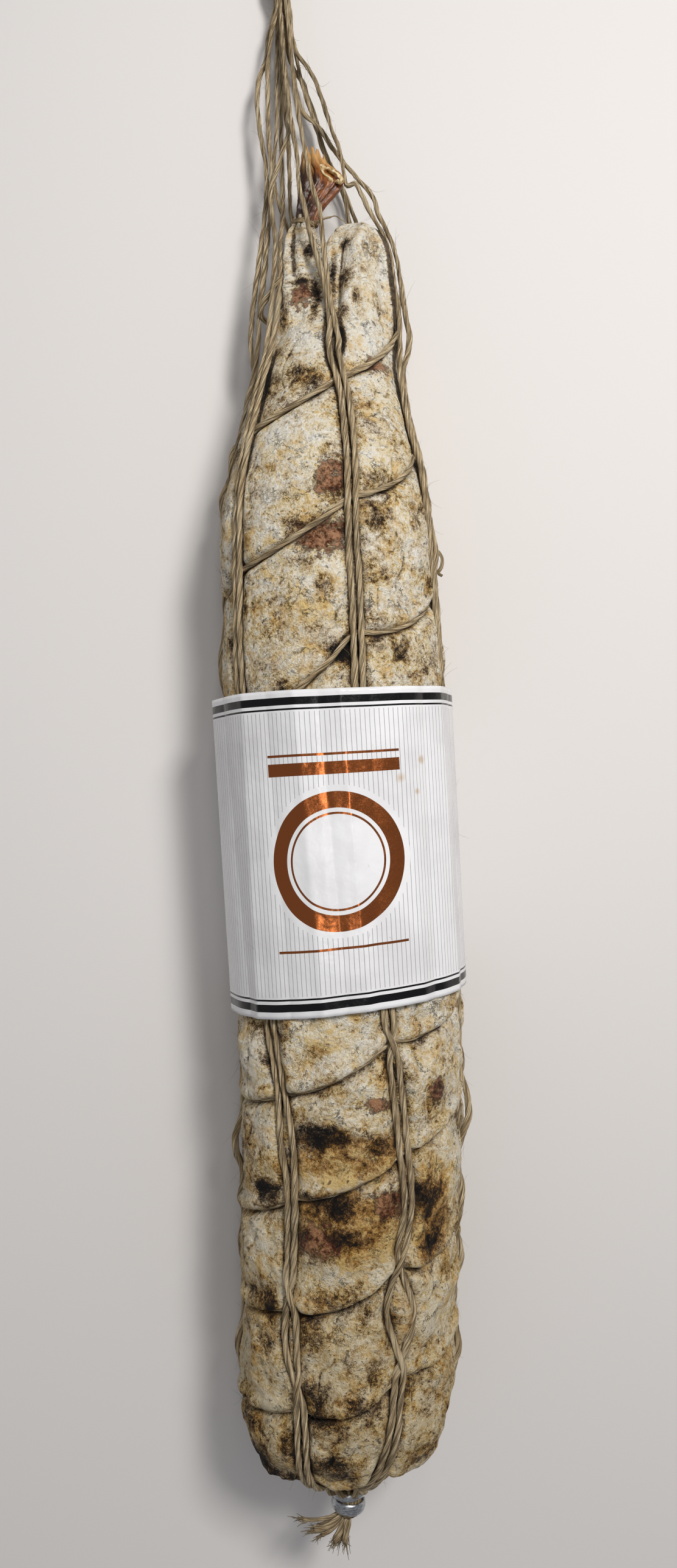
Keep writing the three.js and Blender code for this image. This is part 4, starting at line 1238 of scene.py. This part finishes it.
knot_solid = Solid()
knot_middle = np.array([KNOT["x"], KNOT["start"] + 6.2, KNOT["z"]])
STRANDS_IN_KNOT = 7
for i in range(STRANDS_IN_KNOT):
    even = 2 * np.pi * i / STRANDS_IN_KNOT
    turns = np.linspace(0, 2 * np.pi, 33)
    # The crossing coils of an overhand knot, drawn as a trefoil round the bundle.
    trefoil = np.stack(
        [
            3.1 * np.sin(turns + 0.6) + 0.9 * np.sin(2 * turns),
            3.6 * np.cos(turns * 2) * 0.9 + 0.6 * np.sin(turns),
            3.1 * np.cos(turns + 0.6) - 0.9 * np.cos(2 * turns),
        ],
        axis=-1,
    )
    offset = np.array([1.5 * math.sin(even), 1.7 * math.cos(even), 1.2 * math.sin(even + 1)])
    lay_twine(knot_solid, smooth_line(knot_middle + trefoil + offset, 0.7), 500 + i, 1.1)
straight_through = [(4.2, -6.2), (2.6, -2.5), (1.8, 2.5), (1.6, 6.4)]
lay_ring(knot_solid, knot_middle, 8, 520, 0.7, 1.1, straight_through)
make_piece("top_knot", knot_solid, hemp_twine, "hemp_twine", "top_knot")

# ---- The table and the light ----
# A plain pale table. A lamp 18 cm across stands to the upper right, and a weak one over the
# camera, as in a room with pale walls.

bpy.ops.mesh.primitive_plane_add(size=6, location=(0, 0, 0))
table_top = bpy.context.object
table_top.name = "table_top"
table_top.select_set(False)
table_paint, shader, add = new_material("matt_table_paint")
join(shader, {"Base Color": linear("#dedad7"), "Roughness": 0.8, "Specular IOR Level": 0.2})
table_top.data.materials.append(table_paint)


def area_lamp(name, power, size, location, aim, colour, size_y=None):
    data = bpy.data.lights.new(name, "AREA")
    data.energy = power
    data.size = size
    if size_y:
        data.shape = "RECTANGLE"
        data.size_y = size_y
    data.color = colour
    lamp = bpy.data.objects.new(name, data)
    lamp.location = location
    lamp.rotation_euler = (Vector(aim) - Vector(location)).to_track_quat("-Z", "Y").to_euler()
    bpy.context.collection.objects.link(lamp)


area_lamp("key_lamp", 5.7, 0.18, (0.27, 0.34, 0.76), (0, 0, 0.02), (1.0, 0.985, 0.96))
area_lamp("strip_lamp", 0.45, 0.05, (0.02, 0.1, 0.62), (0, -0.02, 0.06), (1.0, 0.98, 0.95), 0.5)
world = bpy.data.worlds.new("room")
world.use_nodes = True
world.node_tree.nodes["Background"].inputs["Color"].default_value = (0.93, 0.95, 1.0, 1)
world.node_tree.nodes["Background"].inputs["Strength"].default_value = 0.28
bpy.context.scene.world = world
bpy.context.scene.view_settings.view_transform = "Standard"
